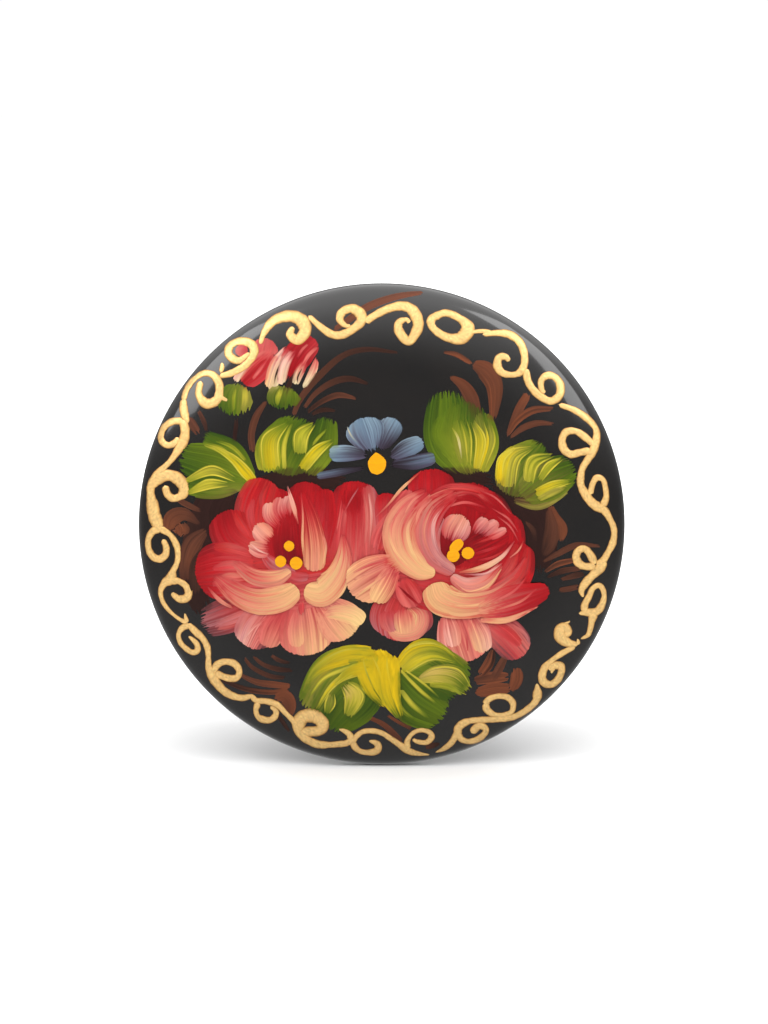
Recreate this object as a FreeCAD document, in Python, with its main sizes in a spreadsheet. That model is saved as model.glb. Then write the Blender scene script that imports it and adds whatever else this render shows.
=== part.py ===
import FreeCAD, Part
import math
import os
import Sketcher

# Round lacquered hair ornament: a crowned disc with a sprung barrette clip fixed across its flat
# back. Millimetres. +X runs along the clip to its catch, -Y is the front of the disc, +Z is up.
# The origin is the middle of the channel that holds the hair, so the back of the disc lies at
# y = -seatDepth. Each piece is drawn with y measured from the back of the disc, then placed.

closeEnough = 0.01
straightEnough = 0.999
leastCut = 1e-6

sizes = {
    # lacquered disc
    "discRadius": 28.0,
    "discThick": 4.8,
    "sideDepth": 2.3,
    "borderWidth": 6.0,
    "borderFall": 1.9,
    "backRound": 0.7,
    "rimRound": 1.7,
    "borderRound": 16.0,
    "seatDepth": 5.7,
    # bed of glue with a button in each glue hole of the bar
    "glueThick": 0.3,
    "glueStart": -20.5,
    "glueEnd": 15.5,
    "glueHalfWidth": 2.9,
    "glueCorner": 1.74,
    "glueHole": 0.9,
    "stemRadius": 0.85,
    "glueHoleStep": 8.0,
    "buttonRadius": 1.5,
    "buttonHeight": 0.35,
    "buttonRound": 0.28,
    # base bar with its two hinge ears
    "barStart": -24.6,
    "barEnd": 25.0,
    "barHalfWidth": 3.5,
    "barThick": 0.8,
    "barCorner": 2.2,
    "earInner": 2.8,
    "earRadius": 1.9,
    # hinge
    "pinX": -22.5,
    "pinRadius": 0.75,
    "pinBore": 0.80,
    "earBore": 0.77,
    "pinHeadRadius": 1.25,
    "pinHeadThick": 0.5,
    "pinSlack": 0.02,
    "knuckleRadius": 1.5,
    # clasp arm
    "armThick": 0.7,
    "armHalfWidth": 2.6,
    "armCrestX": -3.0,
    "armCrest": 10.2,
    "armBend": 2.0,
    "paddleStart": 16.9,
    "paddleEnd": 23.3,
    "paddleLow": 4.3,
    "paddleHalfWidth": 4.1,
    "paddleCorner": 1.3,
    "windowStart": 18.0,
    "windowEnd": 22.2,
    "windowHalfWidth": 2.95,
    "armOverlap": 0.4,
    # bow spring
    "bowThick": 0.35,
    "bowHalfWidth": 1.7,
    "bowCrestX": -2.0,
    "bowCrest": 3.0,
    "bowBend": 3.0,
    "bowFootStart": 13.5,
    "bowFootEnd": 23.0,
    "bowToeAngle": 13.9,
    # catch: plate, rivet and two pinch wings
    "plateStart": 16.6,
    "plateEnd": 24.0,
    "plateHalfWidth": 1.75,
    "plateThick": 0.5,
    "plateCorner": 0.6,
    "rivetX": 20.1,
    "rivetRadius": 1.0,
    "rivetHole": 1.03,
    "rivetHeadRadius": 1.5,
    "rivetHeadHeight": 0.7,
    "rivetTailGap": 0.04,
    "wingInner": 1.9,
    "wingThick": 0.4,
    "wingFoot": 0.2,
    "leafStart": 18.4,
    "leafEnd": 21.8,
    "leafTop": 6.3,
    "barbLow": 5.35,
    "barbReach": 0.55,
    "barbNose": 0.15,
    "padEnd": 25.4,
    "flangeTop": 3.7,
    "padReach": 5.8,
    "padTop": 6.0,
    "padRound": 0.36,
}


def driven(alias):
    return f"Sizes.{alias}"


barLow = driven("glueThick")
barTop = "(Sizes.glueThick + Sizes.barThick)"
footTop = f"({barTop} + Sizes.bowThick)"
plateTop = f"({footTop} + Sizes.plateThick)"


def archTerms(crest, crestX, low, reachTo, bend, thick):
    """Turn, span, inner radius and centre height of an arch that a bend brings flat at reachTo."""
    turn = f"(2 * atan(({crest} - {low}) / ({reachTo} - ({crestX}))))"
    span = f"(({reachTo} - ({crestX})) / sin({turn}))"
    radius = f"({span} - {bend} - {thick})"
    centre = f"({crest} - {radius})"
    return turn, span, radius, centre


armTurn, armSpan, armRadius, armCentre = archTerms(
    "Sizes.armCrest", "Sizes.armCrestX", "Sizes.paddleLow", "Sizes.paddleStart",
    "Sizes.armBend", "Sizes.armThick")
pinRun = f"({armRadius} + Sizes.armThick - Sizes.knuckleRadius)"
pinY = f"({armCentre} + sqrt({pinRun} ^ 2 - (Sizes.armCrestX - Sizes.pinX) ^ 2))"
pinTurn = f"asin((Sizes.armCrestX - Sizes.pinX) / {pinRun})"
bowTurn, bowSpan, bowRadius, bowCentre = archTerms(
    "Sizes.bowCrest", "Sizes.bowCrestX", barTop, "Sizes.bowFootStart",
    "Sizes.bowBend", "Sizes.bowThick")


def makeSheet(doc):
    sheet = doc.addObject("Spreadsheet::Sheet", "Sizes")
    for row, (alias, value) in enumerate(sizes.items(), start=1):
        sheet.set(f"A{row}", alias)
        sheet.set(f"B{row}", str(value))
        sheet.setAlias(f"B{row}", alias)
    doc.recompute()


def makeBody(doc, name, placeX="0", placeY="0", placeZ="0"):
    body = doc.addObject("PartDesign::Body", name)
    body.Label = name
    body.setExpression("Placement.Base.x", placeX)
    body.setExpression("Placement.Base.y", f"{placeY} - Sizes.seatDepth")
    body.setExpression("Placement.Base.z", placeZ)
    return body


def makeSketch(body, name, role, lift="0"):
    """A sketch on one of the body's own planes: XY, XZ (facing -Y) or YZ, raised by lift."""
    plane = next(item for item in body.Origin.OriginFeatures if item.Role == role)
    sketch = body.newObject("Sketcher::SketchObject", name)
    sketch.AttachmentSupport = [(plane, "")]
    sketch.MapMode = "FlatFace"
    sketch.setExpression("AttachmentOffset.Base.z", lift)
    return sketch


def valueOf(sketch, expression):
    result = sketch.evalExpression(expression)
    return float(getattr(result, "Value", result))


def arcBetween(start, end, radius, turn):
    """The shorter arc from start to end; turn is 1 anticlockwise and -1 clockwise."""
    chord = end - start
    height = math.sqrt(radius ** 2 - chord.Length ** 2 / 4)
    left = FreeCAD.Vector(-chord.y, chord.x, 0).normalize()
    centre = (start + end) * 0.5 + left * (height * turn)
    first, last = (start, end) if turn > 0 else (end, start)
    circle = Part.Circle(centre, FreeCAD.Vector(0, 0, 1), radius)
    angles = [math.atan2(point.y - centre.y, point.x - centre.x) for point in (first, last)]
    return Part.ArcOfCircle(circle, angles[0], angles[1])


def constrain(sketch, constraint, expression):
    index = sketch.addConstraint(constraint)
    sketch.setExpression(f"Constraints[{index}]", expression)


def addOutline(sketch, corners):
    """A closed outline. A corner (x, y) starts a line, and (x, y, radius, turn) starts an arc."""
    places = [FreeCAD.Vector(valueOf(sketch, item[0]), valueOf(sketch, item[1]), 0)
              for item in corners]
    edges = []
    for number, item in enumerate(corners):
        start, end = places[number], places[(number + 1) % len(corners)]
        if len(item) == 2:
            edge = sketch.addGeometry(Part.LineSegment(start, end))
            edges.append((edge, 1, 2))
        else:
            turn = item[3]
            edge = sketch.addGeometry(arcBetween(start, end, valueOf(sketch, item[2]), turn))
            edges.append((edge, 1, 2) if turn > 0 else (edge, 2, 1))
    for number, (edge, _, last) in enumerate(edges):
        following, first, _ = edges[(number + 1) % len(edges)]
        sketch.addConstraint(Sketcher.Constraint("Coincident", edge, last, following, first))
    for (edge, first, _), item, place in zip(edges, corners, places):
        constrain(sketch, Sketcher.Constraint("DistanceX", -1, 1, edge, first, place.x), item[0])
        constrain(sketch, Sketcher.Constraint("DistanceY", -1, 1, edge, first, place.y), item[1])
        if len(item) > 2:
            radius = valueOf(sketch, item[2])
            constrain(sketch, Sketcher.Constraint("Radius", edge, radius), item[2])


def addCircle(sketch, centreX, centreY, radius):
    x, y, size = (valueOf(sketch, text) for text in (centreX, centreY, radius))
    circle = Part.Circle(FreeCAD.Vector(x, y, 0), FreeCAD.Vector(0, 0, 1), size)
    edge = sketch.addGeometry(circle)
    constrain(sketch, Sketcher.Constraint("DistanceX", -1, 1, edge, 3, x), centreX)
    constrain(sketch, Sketcher.Constraint("DistanceY", -1, 1, edge, 3, y), centreY)
    constrain(sketch, Sketcher.Constraint("Radius", edge, size), radius)


def addRectangle(sketch, left, right, low, high):
    addOutline(sketch, [(left, low), (right, low), (right, high), (left, high)])


def makePad(body, sketch, length, sides="One side", backwards=False):
    feature = body.newObject("PartDesign::Pad", f"{sketch.Name}Pad")
    feature.Profile = sketch
    feature.SideType = sides
    feature.Reversed = backwards
    feature.setExpression("Length", length)
    body.Document.recompute()
    return feature


def cutThrough(body, sketch):
    """A pocket through everything on both sides of the sketch; it must take material away."""
    before = body.Shape.Volume
    feature = body.newObject("PartDesign::Pocket", f"{sketch.Name}Cut")
    feature.Profile = sketch
    feature.Type = "ThroughAll"
    feature.SideType = "Symmetric"
    body.Document.recompute()
    if body.Shape.Volume >= before - leastCut:
        raise RuntimeError(f"{body.Label}: {sketch.Name} cut nothing")


def makeTurned(body, sketch, axis, angle="360", centred=False):
    feature = body.newObject("PartDesign::Revolution", f"{sketch.Name}Turned")
    feature.Profile = sketch
    feature.ReferenceAxis = (sketch, [axis])
    feature.Midplane = centred
    feature.setExpression("Angle", angle)
    body.Document.recompute()
    return feature


def makeFillet(body, radius, chosen):
    """Round the edges of the body's newest feature that chosen(edge) picks."""
    base = body.Tip
    names = [f"Edge{number}" for number, edge in enumerate(base.Shape.Edges, start=1)
             if chosen(edge)]
    feature = body.newObject("PartDesign::Fillet", "Rounded")
    feature.Base = (base, names)
    feature.setExpression("Radius", radius)
    body.Document.recompute()
    return feature


def isRing(edge, radius, height):
    """Whether an edge is a circle about Y of this radius, at this y."""
    if edge.Degenerated or not isinstance(edge.Curve, Part.Circle):
        return False
    return (abs(edge.Curve.Radius - radius) < closeEnough
            and abs(edge.CenterOfMass.y - height) < closeEnough)


def runsAlong(edge, direction):
    ends = [vertex.Point for vertex in edge.Vertexes]
    if edge.Degenerated or len(ends) != 2 or not isinstance(edge.Curve, Part.Line):
        return False
    return abs((ends[1] - ends[0]).normalize().dot(direction)) > straightEnough


def makeDisc(doc):
    """Flat back, low side, convex border and a face that is almost flat."""
    body = makeBody(doc, "disc")
    sketch = makeSketch(body, "Section", "XY_Plane")
    faceEdge = "(Sizes.discRadius - Sizes.borderWidth)"
    crown = "(Sizes.discThick - Sizes.sideDepth - Sizes.borderFall)"
    addOutline(sketch, [
        ("0", "0"),
        ("Sizes.discRadius", "0"),
        ("Sizes.discRadius", "-Sizes.sideDepth"),
        (faceEdge, "-Sizes.sideDepth - Sizes.borderFall",
         f"({faceEdge} ^ 2 + {crown} ^ 2) / (2 * {crown})", -1),
        ("0", "-Sizes.discThick"),
    ])
    makeTurned(body, sketch, "V_Axis")
    radius, side = sizes["discRadius"], sizes["sideDepth"]
    faceRing = radius - sizes["borderWidth"]
    faceY = -side - sizes["borderFall"]
    makeFillet(body, "Sizes.borderRound", lambda edge: isRing(edge, faceRing, faceY))
    makeFillet(body, "Sizes.rimRound", lambda edge: isRing(edge, radius, -side))
    makeFillet(body, "Sizes.backRound", lambda edge: isRing(edge, radius, 0))
    return body


def makeGlueBed(doc):
    """Cured glue: a thin bed, and a button that came up through each glue hole of the bar."""
    body = makeBody(doc, "glue_bed")
    bed = makeSketch(body, "Bed", "XZ_Plane")
    addRectangle(bed, "Sizes.glueStart", "Sizes.glueEnd",
                 "-Sizes.glueHalfWidth", "Sizes.glueHalfWidth")
    makePad(body, bed, "Sizes.glueThick", backwards=True)
    makeFillet(body, "Sizes.glueCorner", lambda edge: runsAlong(edge, FreeCAD.Vector(0, 1, 0)))
    stems = makeSketch(body, "Stems", "XZ_Plane")
    heads = makeSketch(body, "Buttons", "XZ_Plane", f"-{barTop}")
    for side in ("-", ""):
        place = f"{side}Sizes.glueHoleStep"
        addCircle(stems, place, "0", "Sizes.stemRadius")
        addCircle(heads, place, "0", "Sizes.buttonRadius")
    makePad(body, stems, barTop, backwards=True)
    makePad(body, heads, "Sizes.buttonHeight", backwards=True)
    topY = sizes["glueThick"] + sizes["barThick"] + sizes["buttonHeight"]
    makeFillet(body, "Sizes.buttonRound",
               lambda edge: isRing(edge, sizes["buttonRadius"], topY))
    return body


def makeBaseBar(doc):
    """Flat stamped bar with two hinge ears turned up at its left end."""
    body = makeBody(doc, "base_bar")
    plan = makeSketch(body, "Plan", "XZ_Plane", f"-{barLow}")
    addRectangle(plan, "Sizes.barStart", "Sizes.barEnd",
                 "-Sizes.barHalfWidth", "Sizes.barHalfWidth")
    makePad(body, plan, "Sizes.barThick", backwards=True)
    makeFillet(body, "Sizes.barCorner", lambda edge: runsAlong(edge, FreeCAD.Vector(0, 1, 0)))
    earThick = "(Sizes.barHalfWidth - Sizes.earInner)"
    left, right = "Sizes.pinX - Sizes.earRadius", "Sizes.pinX + Sizes.earRadius"
    for name, lift in (("EarUpper", "Sizes.earInner"), ("EarLower", "-Sizes.barHalfWidth")):
        ear = makeSketch(body, name, "XY_Plane", lift)
        addOutline(ear, [
            (left, barLow),
            (right, barLow),
            (right, pinY, "Sizes.earRadius", 1),
            ("Sizes.pinX", f"{pinY} + Sizes.earRadius", "Sizes.earRadius", 1),
            (left, pinY),
        ])
        makePad(body, ear, earThick)
    pinHole = makeSketch(body, "PinHole", "XY_Plane")
    addCircle(pinHole, "Sizes.pinX", pinY, "Sizes.earBore")
    cutThrough(body, pinHole)
    holes = makeSketch(body, "Holes", "XZ_Plane")
    addCircle(holes, "-Sizes.glueHoleStep", "0", "Sizes.glueHole")
    addCircle(holes, "Sizes.glueHoleStep", "0", "Sizes.glueHole")
    addCircle(holes, "Sizes.rivetX", "0", "Sizes.rivetHole")
    cutThrough(body, holes)
    return body


def makeHingePin(doc):
    """Pin headed over outside both ears."""
    body = makeBody(doc, "hinge_pin", "Sizes.pinX", pinY)
    section = makeSketch(body, "Section", "XZ_Plane")
    reach = "(Sizes.barHalfWidth + Sizes.pinSlack)"
    headEnd = f"({reach} + Sizes.pinHeadThick)"
    addOutline(section, [
        ("0", f"-{headEnd}"),
        ("Sizes.pinHeadRadius", f"-{headEnd}"),
        ("Sizes.pinHeadRadius", f"-{reach}"),
        ("Sizes.pinRadius", f"-{reach}"),
        ("Sizes.pinRadius", reach),
        ("Sizes.pinHeadRadius", reach),
        ("Sizes.pinHeadRadius", headEnd),
        ("0", headEnd),
    ])
    makeTurned(body, section, "V_Axis")
    return body


def archedStrip(sketch, name):
    """The side view of a strip that arches, then bends flat into a foot on its right."""
    shapes = {
        "arm": ("Sizes.armCrestX", "Sizes.armThick", "Sizes.armBend", armTurn, armSpan,
                armRadius, armCentre, pinTurn, "Sizes.windowStart - Sizes.armOverlap"),
        "bow": ("Sizes.bowCrestX", "Sizes.bowThick", "Sizes.bowBend", bowTurn, bowSpan,
                bowRadius, bowCentre, "Sizes.bowToeAngle * 1 deg", "Sizes.bowFootEnd"),
    }
    crestX, thick, bend, turn, span, radius, centre, startTurn, footEnd = shapes[name]
    outer = f"({radius} + {thick})"
    footX = f"{crestX} + {span} * sin({turn})"
    bendY = f"({centre} + {span} * cos({turn}))"
    addOutline(sketch, [
        (f"{crestX} - {radius} * sin({startTurn})", f"{centre} + {radius} * cos({startTurn})",
         radius, -1),
        (f"{crestX} + {radius} * sin({turn})", f"{centre} + {radius} * cos({turn})",
         f"{bend} + {thick}", 1),
        (footX, f"{bendY} - {bend} - {thick}"),
        (footEnd, f"{bendY} - {bend} - {thick}"),
        (footEnd, f"{bendY} - {bend}"),
        (footX, f"{bendY} - {bend}", bend, -1),
        (f"{crestX} + {outer} * sin({turn})", f"{centre} + {outer} * cos({turn})", outer, 1),
        (f"{crestX} - {outer} * sin({startTurn})", f"{centre} + {outer} * cos({startTurn})"),
    ])


def makeClaspArm(doc):
    """Arched arm: curled round the pin on its left, with a catch window in its right end."""
    body = makeBody(doc, "clasp_arm")
    strip = makeSketch(body, "Strip", "XY_Plane")
    archedStrip(strip, "arm")
    makePad(body, strip, "Sizes.armHalfWidth * 2", "Symmetric")
    knuckle = makeSketch(body, "Knuckle", "XY_Plane")
    addCircle(knuckle, "Sizes.pinX", pinY, "Sizes.knuckleRadius")
    makePad(body, knuckle, "Sizes.armHalfWidth * 2", "Symmetric")
    bore = makeSketch(body, "Bore", "XY_Plane")
    addCircle(bore, "Sizes.pinX", pinY, "Sizes.pinBore")
    cutThrough(body, bore)
    paddle = makeSketch(body, "Paddle", "XZ_Plane", "-Sizes.paddleLow")
    addRectangle(paddle, "Sizes.paddleStart", "Sizes.paddleEnd",
                 "-Sizes.paddleHalfWidth", "Sizes.paddleHalfWidth")
    makePad(body, paddle, "Sizes.armThick", backwards=True)
    corner = sizes["paddleHalfWidth"]
    makeFillet(body, "Sizes.paddleCorner",
               lambda edge: runsAlong(edge, FreeCAD.Vector(0, 1, 0))
               and abs(abs(edge.CenterOfMass.z) - corner) < closeEnough)
    window = makeSketch(body, "Window", "XZ_Plane")
    addRectangle(window, "Sizes.windowStart", "Sizes.windowEnd",
                 "-Sizes.windowHalfWidth", "Sizes.windowHalfWidth")
    cutThrough(body, window)
    return body


def makeBowSpring(doc):
    """Thin bowed strip: its foot is held by the catch rivet and its toe slides on the bar."""
    body = makeBody(doc, "bow_spring")
    strip = makeSketch(body, "Strip", "XY_Plane")
    archedStrip(strip, "bow")
    makePad(body, strip, "Sizes.bowHalfWidth * 2", "Symmetric")
    hole = makeSketch(body, "RivetHole", "XZ_Plane")
    addCircle(hole, "Sizes.rivetX", "0", "Sizes.rivetHole")
    cutThrough(body, hole)
    return body


def makeCatchPlate(doc):
    """Plate over the foot of the bow spring, between the two pinch wings."""
    body = makeBody(doc, "catch_plate")
    plan = makeSketch(body, "Plan", "XZ_Plane", f"-{footTop}")
    addRectangle(plan, "Sizes.plateStart", "Sizes.plateEnd",
                 "-Sizes.plateHalfWidth", "Sizes.plateHalfWidth")
    makePad(body, plan, "Sizes.plateThick", backwards=True)
    makeFillet(body, "Sizes.plateCorner", lambda edge: runsAlong(edge, FreeCAD.Vector(0, 1, 0)))
    hole = makeSketch(body, "RivetHole", "XZ_Plane")
    addCircle(hole, "Sizes.rivetX", "0", "Sizes.rivetHole")
    cutThrough(body, hole)
    return body


def makeCatchRivet(doc):
    """Domed rivet through the plate, the spring's foot and the bar, set flat underneath."""
    body = makeBody(doc, "catch_rivet", "Sizes.rivetX")
    section = makeSketch(body, "Section", "XY_Plane")
    domeRadius = "(Sizes.rivetHeadRadius ^ 2 + Sizes.rivetHeadHeight ^ 2) / (2 * Sizes.rivetHeadHeight)"
    addOutline(section, [
        ("0", "Sizes.rivetTailGap"),
        ("Sizes.rivetHeadRadius", "Sizes.rivetTailGap"),
        ("Sizes.rivetHeadRadius", barLow),
        ("Sizes.rivetRadius", barLow),
        ("Sizes.rivetRadius", plateTop),
        ("Sizes.rivetHeadRadius", plateTop, domeRadius, 1),
        ("0", f"{plateTop} + Sizes.rivetHeadHeight"),
    ])
    makeTurned(body, section, "V_Axis")
    return body


def makeWing(doc, name, side):
    """One pinch wing of the catch: a barbed leaf, and a flange that ends in a finger pad."""
    body = makeBody(doc, name)
    foot = f"{barTop} + Sizes.wingFoot"
    inner = f"{side} * Sizes.wingInner"
    outer = f"{side} * (Sizes.wingInner + Sizes.wingThick)"
    barb = f"{side} * (Sizes.wingInner + Sizes.wingThick + Sizes.barbReach)"
    leaf = makeSketch(body, "Leaf", "YZ_Plane", "Sizes.leafStart")
    addOutline(leaf, [
        (foot, inner),
        ("Sizes.leafTop", inner),
        ("Sizes.leafTop", outer),
        ("Sizes.barbLow + Sizes.barbNose", barb),
        ("Sizes.barbLow", barb),
        ("Sizes.barbLow", outer),
        (foot, outer),
    ])
    makePad(body, leaf, "Sizes.leafEnd - Sizes.leafStart")
    pad = makeSketch(body, "FingerPad", "YZ_Plane", "Sizes.leafEnd")
    flangeLow = "Sizes.flangeTop - Sizes.wingThick"
    addOutline(pad, [
        (foot, inner),
        ("Sizes.flangeTop", inner),
        ("Sizes.flangeTop", f"{side} * (Sizes.padReach - Sizes.wingThick)"),
        ("Sizes.padTop", f"{side} * (Sizes.padReach - Sizes.wingThick)"),
        ("Sizes.padTop", f"{side} * Sizes.padReach"),
        (flangeLow, f"{side} * Sizes.padReach"),
        (flangeLow, outer),
        (foot, outer),
    ])
    makePad(body, pad, "Sizes.padEnd - Sizes.leafEnd")
    padSide = sizes["padReach"]
    makeFillet(body, "Sizes.padRound",
               lambda edge: runsAlong(edge, FreeCAD.Vector(1, 0, 0))
               and abs(abs(edge.CenterOfMass.z) - padSide) < closeEnough
               and edge.CenterOfMass.y < sizes["flangeTop"])
    return body


def checkDocument(doc):
    """Stop if any object of the document failed, or a piece is empty or not valid."""
    for item in doc.Objects:
        if {"Invalid", "Error"} & set(item.State):
            raise RuntimeError(f"{item.Name} failed: {item.State}")
    for item in doc.findObjects("PartDesign::Body"):
        if item.Shape.isNull() or not item.Shape.isValid() or len(item.Shape.Solids) != 1:
            raise RuntimeError(f"{item.Label} is not one valid solid")


def main():
    doc = FreeCAD.newDocument("HairOrnament")
    makeSheet(doc)
    pieces = [
        makeDisc(doc),
        makeGlueBed(doc),
        makeBaseBar(doc),
        makeHingePin(doc),
        makeClaspArm(doc),
        makeBowSpring(doc),
        makeCatchPlate(doc),
        makeCatchRivet(doc),
        makeWing(doc, "catch_wing_upper", "1"),
        makeWing(doc, "catch_wing_lower", "-1"),
    ]
    doc.recompute()
    checkDocument(doc)
    os.makedirs("parts", exist_ok=True)
    for piece in pieces:
        piece.Shape.exportStep(f"parts/{piece.Label}.step")
        box = piece.Shape.optimalBoundingBox(False)
        print(f"{piece.Label}: {piece.Shape.Volume:.1f} mm3,"
              f" x {box.XMin:.2f} to {box.XMax:.2f},"
              f" y {box.YMin:.2f} to {box.YMax:.2f},"
              f" z {box.ZMin:.2f} to {box.ZMax:.2f}")


main()
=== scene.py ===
import math
import random

import bmesh
import bpy
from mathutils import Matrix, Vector
from mathutils.geometry import tessellate_polygon


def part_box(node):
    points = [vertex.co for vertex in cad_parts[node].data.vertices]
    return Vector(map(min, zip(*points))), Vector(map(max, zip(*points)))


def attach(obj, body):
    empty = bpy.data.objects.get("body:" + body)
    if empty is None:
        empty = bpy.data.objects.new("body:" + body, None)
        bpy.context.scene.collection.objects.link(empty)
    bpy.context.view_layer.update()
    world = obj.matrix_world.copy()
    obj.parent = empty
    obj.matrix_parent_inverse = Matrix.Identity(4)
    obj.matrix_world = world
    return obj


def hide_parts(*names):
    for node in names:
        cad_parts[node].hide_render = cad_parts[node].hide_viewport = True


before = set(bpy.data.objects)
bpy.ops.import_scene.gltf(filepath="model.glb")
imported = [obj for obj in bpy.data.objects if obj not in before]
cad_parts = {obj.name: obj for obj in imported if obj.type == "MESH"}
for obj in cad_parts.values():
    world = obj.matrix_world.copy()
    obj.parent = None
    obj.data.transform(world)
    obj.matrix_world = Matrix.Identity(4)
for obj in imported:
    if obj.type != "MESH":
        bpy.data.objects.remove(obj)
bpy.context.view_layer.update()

mm = 0.001
rootBody = "disc_and_bar"
discLow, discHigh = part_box("disc")
print("stage: frame loaded")


def makeObject(name, verts, faces, material, smooth=True):
    mesh = bpy.data.meshes.new(name)
    mesh.from_pydata(verts, [], faces)
    mesh.update()
    piece = bpy.data.objects.new(name, mesh)
    bpy.context.scene.collection.objects.link(piece)
    mesh.materials.append(material)
    for face in mesh.polygons:
        face.use_smooth = smooth
    return piece


disc = {
    "radius": discHigh.x / mm,
    "thick": (discHigh.y - discLow.y) / mm,
    "backRound": 0.7,
    "turns": 288,
    # distance from the middle in mm, and how steeply the painted side falls there in degrees
    "falls": ((0, 0), (17, 1.6), (19.5, 4.2), (21.4, 9.5), (23.2, 15.5), (25, 20), (26.4, 26), (27.2, 38),
              (27.7, 58), (28, 80)),
}


# How steeply the painted side falls at this distance from the middle, in degrees.
def fallAt(radius):
    for (near, low), (far, high) in zip(disc["falls"], disc["falls"][1:]):
        if radius <= far:
            return low + (high - low) * (radius - near) / (far - near)
    return disc["falls"][-1][1]


profileStep = 0.05
profileHeights = [disc["thick"]]
while len(profileHeights) * profileStep <= disc["radius"]:
    fall = math.tan(math.radians(fallAt((len(profileHeights) - 0.5) * profileStep)))
    profileHeights.append(profileHeights[-1] - fall * profileStep)


# Height of the painted side above the flat back, in mm.
def faceHeight(radius):
    place = min(radius / profileStep, len(profileHeights) - 1.001)
    index = int(place)
    return profileHeights[index] + (profileHeights[index + 1] - profileHeights[index]) * (place - index)


# A point on the painted side, lift mm in front of it.
def onFace(x, z, lift=0.0):
    radius = min(math.hypot(x, z), disc["radius"])
    return Vector((x * mm, discHigh.y - (faceHeight(radius) + lift) * mm, z * mm))


# Radius and height pairs from the middle of the face, over the rim, to the middle of the back.
def discProfile():
    pairs = [(0.0, faceHeight(0.0))]
    pairs += [(radius, faceHeight(radius)) for radius in range(1, 19)]
    pairs += [(19 + step * 0.25, faceHeight(19 + step * 0.25)) for step in range(0, 32)]
    pairs += [(27 + step * 0.1, faceHeight(27 + step * 0.1)) for step in range(0, 10)]
    back = disc["backRound"]
    pairs.append((disc["radius"], faceHeight(disc["radius"])))
    pairs.append((disc["radius"], (faceHeight(disc["radius"]) + back) / 2))
    for step in range(0, 9):
        turn = math.pi / 2 * step / 8
        pairs.append((disc["radius"] - back + back * math.cos(turn), back - back * math.sin(turn)))
    for radius in (20.0, 10.0, 0.0):
        pairs.append((radius, 0.0))
    return pairs


# Verts and faces of a profile turned about Y; the first and last pair lie on the axis.
def turnedMesh(pairs, turns):
    verts, faces = [], []
    rings = pairs[1:-1]
    for radius, height in rings:
        for turn in range(turns):
            angle = 2 * math.pi * turn / turns
            verts.append((radius * math.cos(angle) * mm, discHigh.y - height * mm,
                          radius * math.sin(angle) * mm))
    for ring in range(len(rings) - 1):
        for turn in range(turns):
            a, b = ring * turns + turn, ring * turns + (turn + 1) % turns
            faces.append((a, b, b + turns, a + turns))
    front, rear = len(verts), len(verts) + 1
    verts.append((0.0, discHigh.y - pairs[0][1] * mm, 0.0))
    verts.append((0.0, discHigh.y - pairs[-1][1] * mm, 0.0))
    last = (len(rings) - 1) * turns
    for turn in range(turns):
        following = (turn + 1) % turns
        faces.append((front, following, turn))
        faces.append((rear, last + turn, last + following))
    return verts, faces


# A material with a Principled shader; values set its sockets by name.
def newMaterial(name, **values):
    material = bpy.data.materials.new(name)
    material.use_nodes = True
    shader = material.node_tree.nodes["Principled BSDF"]
    for key, value in values.items():
        shader.inputs[key.replace("_", " ")].default_value = value
    return material, material.node_tree.nodes, material.node_tree.links, shader


def addNode(nodes, kind, **values):
    node = nodes.new(kind)
    for key, value in values.items():
        setattr(node, key, value)
    return node


# A colour mix node; first and second are sockets or colours. Returns its result socket.
def mixColours(nodes, links, factor, first, second, blend="MIX"):
    node = addNode(nodes, "ShaderNodeMix", data_type="RGBA", blend_type=blend)
    for socket, value in ((node.inputs[0], factor), (node.inputs[6], first), (node.inputs[7], second)):
        if isinstance(value, bpy.types.NodeSocket):
            links.new(value, socket)
        else:
            socket.default_value = value
    return node.outputs[2]


def ramp(nodes, links, source, stops):
    node = addNode(nodes, "ShaderNodeValToRGB")
    while len(node.color_ramp.elements) < len(stops):
        node.color_ramp.elements.new(0.5)
    for element, (place, colour) in zip(node.color_ramp.elements, stops):
        element.position = place
        element.color = colour if isinstance(colour, tuple) else (colour, colour, colour, 1)
    links.new(source, node.inputs[0])
    return node.outputs[0]


def bump(nodes, links, height, strength, distance, shader):
    node = addNode(nodes, "ShaderNodeBump")
    node.inputs["Strength"].default_value = strength
    node.inputs["Distance"].default_value = distance
    links.new(height, node.inputs["Height"])
    links.new(node.outputs[0], shader.inputs["Normal"])
    return node


lacquer = {
    "black": (0.0042, 0.0040, 0.0040, 1),
    "warmBlack": (0.0075, 0.0058, 0.0050, 1),
    "dust": (0.35, 0.34, 0.33, 1),
    "roughness": 0.13,
    "waves": 260.0,         # per metre, the slow unevenness of brushed lacquer
}


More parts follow.
